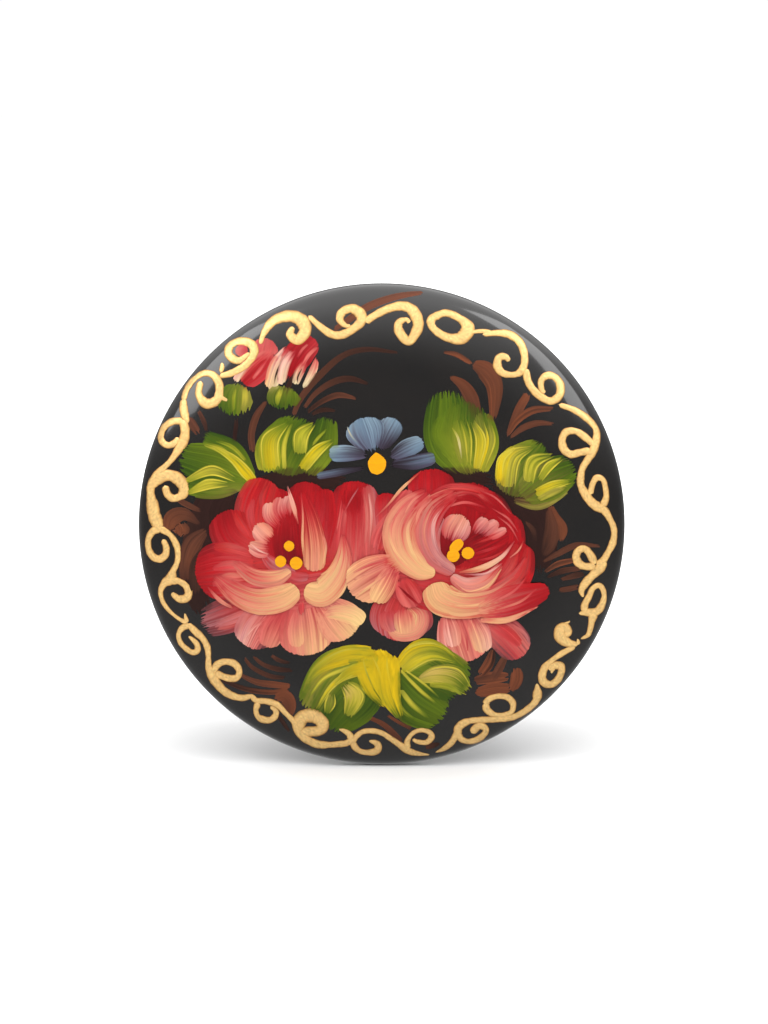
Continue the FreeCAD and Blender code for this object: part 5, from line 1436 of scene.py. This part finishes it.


# A grey floor that glows more with distance from the part: a painted glow far off, and painted shade round
# the part's foot.
def makeFloor():
    material, nodes, links, shader = newMaterial("paleFloor", Roughness=0.75, Specular_IOR_Level=0.2)
    place = addNode(nodes, "ShaderNodeTexCoord").outputs["Object"]
    grain = addNode(nodes, "ShaderNodeTexNoise")
    grain.inputs["Scale"].default_value = 60.0
    links.new(place, grain.inputs["Vector"])
    tint = ramp(nodes, links, grain.outputs[0], [(0.3, 0.72), (0.7, 0.74)])
    links.new(tint, shader.inputs["Base Color"])
    # Emission rising with distance from the part: painted glow that whitens the floor far off and leaves
    # painted shade near the part.
    away = addNode(nodes, "ShaderNodeVectorMath", operation="LENGTH")
    links.new(place, away.inputs[0])
    glow = ramp(nodes, links, away.outputs["Value"], [
        (studio["glowFrom"], 0.0), (studio["glowFull"], 1.0)])
    shader.inputs["Emission Color"].default_value = (1, 1, 1, 1)
    links.new(glow, shader.inputs["Emission Strength"])
    half = studio["floorHalf"]
    low = discLow.z
    corners = [(-half, -half, low), (half, -half, low), (half, half, low), (-half, half, low)]
    floor = makeObject("floor", corners, [(0, 1, 2, 3)], material, smooth=False)
    floor.visible_glossy = False


# White behind everything; what the gloss mirrors is dark ahead and pale above.
def makeWorld():
    world = bpy.data.worlds.new("studioWorld")
    bpy.context.scene.world = world
    world.use_nodes = True
    nodes, links = world.node_tree.nodes, world.node_tree.links
    nodes.clear()
    direction = addNode(nodes, "ShaderNodeTexCoord").outputs["Generated"]
    split = addNode(nodes, "ShaderNodeSeparateXYZ")
    links.new(direction, split.inputs[0])
    upward = addNode(nodes, "ShaderNodeMapRange")
    upward.inputs["From Min"].default_value = -1.0
    links.new(split.outputs["Z"], upward.inputs["Value"])
    soft = ramp(nodes, links, upward.outputs[0], [
        (0.0, 0.75), (0.28, 0.62), (0.42, 0.24), (0.54, 0.18), (0.62, 0.30), (0.8, 0.6), (1.0, 0.8)])
    mirrored = ramp(nodes, links, upward.outputs[0], [
        (0.0, 0.20), (0.28, 0.18), (0.42, 0.11), (0.50, 0.10), (0.56, 0.14), (0.62, 0.20), (0.70, 0.32),
        (0.78, 0.52), (0.86, 0.80), (1.0, 0.95)])
    rays = addNode(nodes, "ShaderNodeLightPath")
    room = addNode(nodes, "ShaderNodeBackground")
    links.new(soft, room.inputs["Color"])
    gloss = addNode(nodes, "ShaderNodeBackground")
    gloss.inputs["Strength"].default_value = 2.3
    links.new(mirrored, gloss.inputs["Color"])
    unseen = addNode(nodes, "ShaderNodeMixShader")
    links.new(rays.outputs["Is Glossy Ray"], unseen.inputs[0])
    links.new(room.outputs[0], unseen.inputs[1])
    links.new(gloss.outputs[0], unseen.inputs[2])
    white = addNode(nodes, "ShaderNodeBackground")
    white.inputs["Color"].default_value = (1, 1, 1, 1)
    white.inputs["Strength"].default_value = 1.02
    mix = addNode(nodes, "ShaderNodeMixShader")
    links.new(rays.outputs["Is Camera Ray"], mix.inputs[0])
    links.new(unseen.outputs[0], mix.inputs[1])
    links.new(white.outputs[0], mix.inputs[2])
    output = addNode(nodes, "ShaderNodeOutputWorld")
    links.new(mix.outputs[0], output.inputs[0])


# A softbox facing the disc; azimuth 0 is in front of it and 90 to its right, in degrees.
def makeLight(name, azimuth, elevation, distance, size, radiance):
    turn, rise = math.radians(azimuth), math.radians(elevation)
    back = Vector((math.sin(turn) * math.cos(rise), -math.cos(turn) * math.cos(rise), math.sin(rise)))
    data = bpy.data.lights.new(name, "AREA")
    data.shape = "RECTANGLE"
    data.size, data.size_y = size
    data.energy = radiance * math.pi * size[0] * size[1]
    lamp = bpy.data.objects.new(name, data)
    lamp.location = back * distance
    lamp.rotation_mode = "QUATERNION"
    lamp.rotation_quaternion = back.to_track_quat("Z", "Y")
    bpy.context.scene.collection.objects.link(lamp)
    return lamp


def makeCamera():
    rise = math.radians(studio["viewHeight"])
    back = Vector((0, -math.cos(rise), math.sin(rise)))
    data = bpy.data.cameras.new("camera")
    data.lens = studio["lens"]
    data.clip_start, data.clip_end = 0.01, 10.0
    camera = bpy.data.objects.new("camera", data)
    camera.location = Vector(studio["aim"]) + back * studio["distance"]
    camera.rotation_mode = "QUATERNION"
    camera.rotation_quaternion = back.to_track_quat("Z", "Y")
    bpy.context.scene.collection.objects.link(camera)
    bpy.context.scene.camera = camera


makeFloor()
makeWorld()
makeLight("overhead", 0, 44, 0.50, (0.80, 0.44), 2.3).visible_glossy = False
makeLight("leftSoftbox", -54, 34, 0.45, (0.22, 0.30), 3.4)
makeLight("rightSoftbox", 56, 36, 0.45, (0.20, 0.32), 3.4)
makeCamera()
bpy.context.scene.view_settings.view_transform = "Standard"
print("stage: studio set")
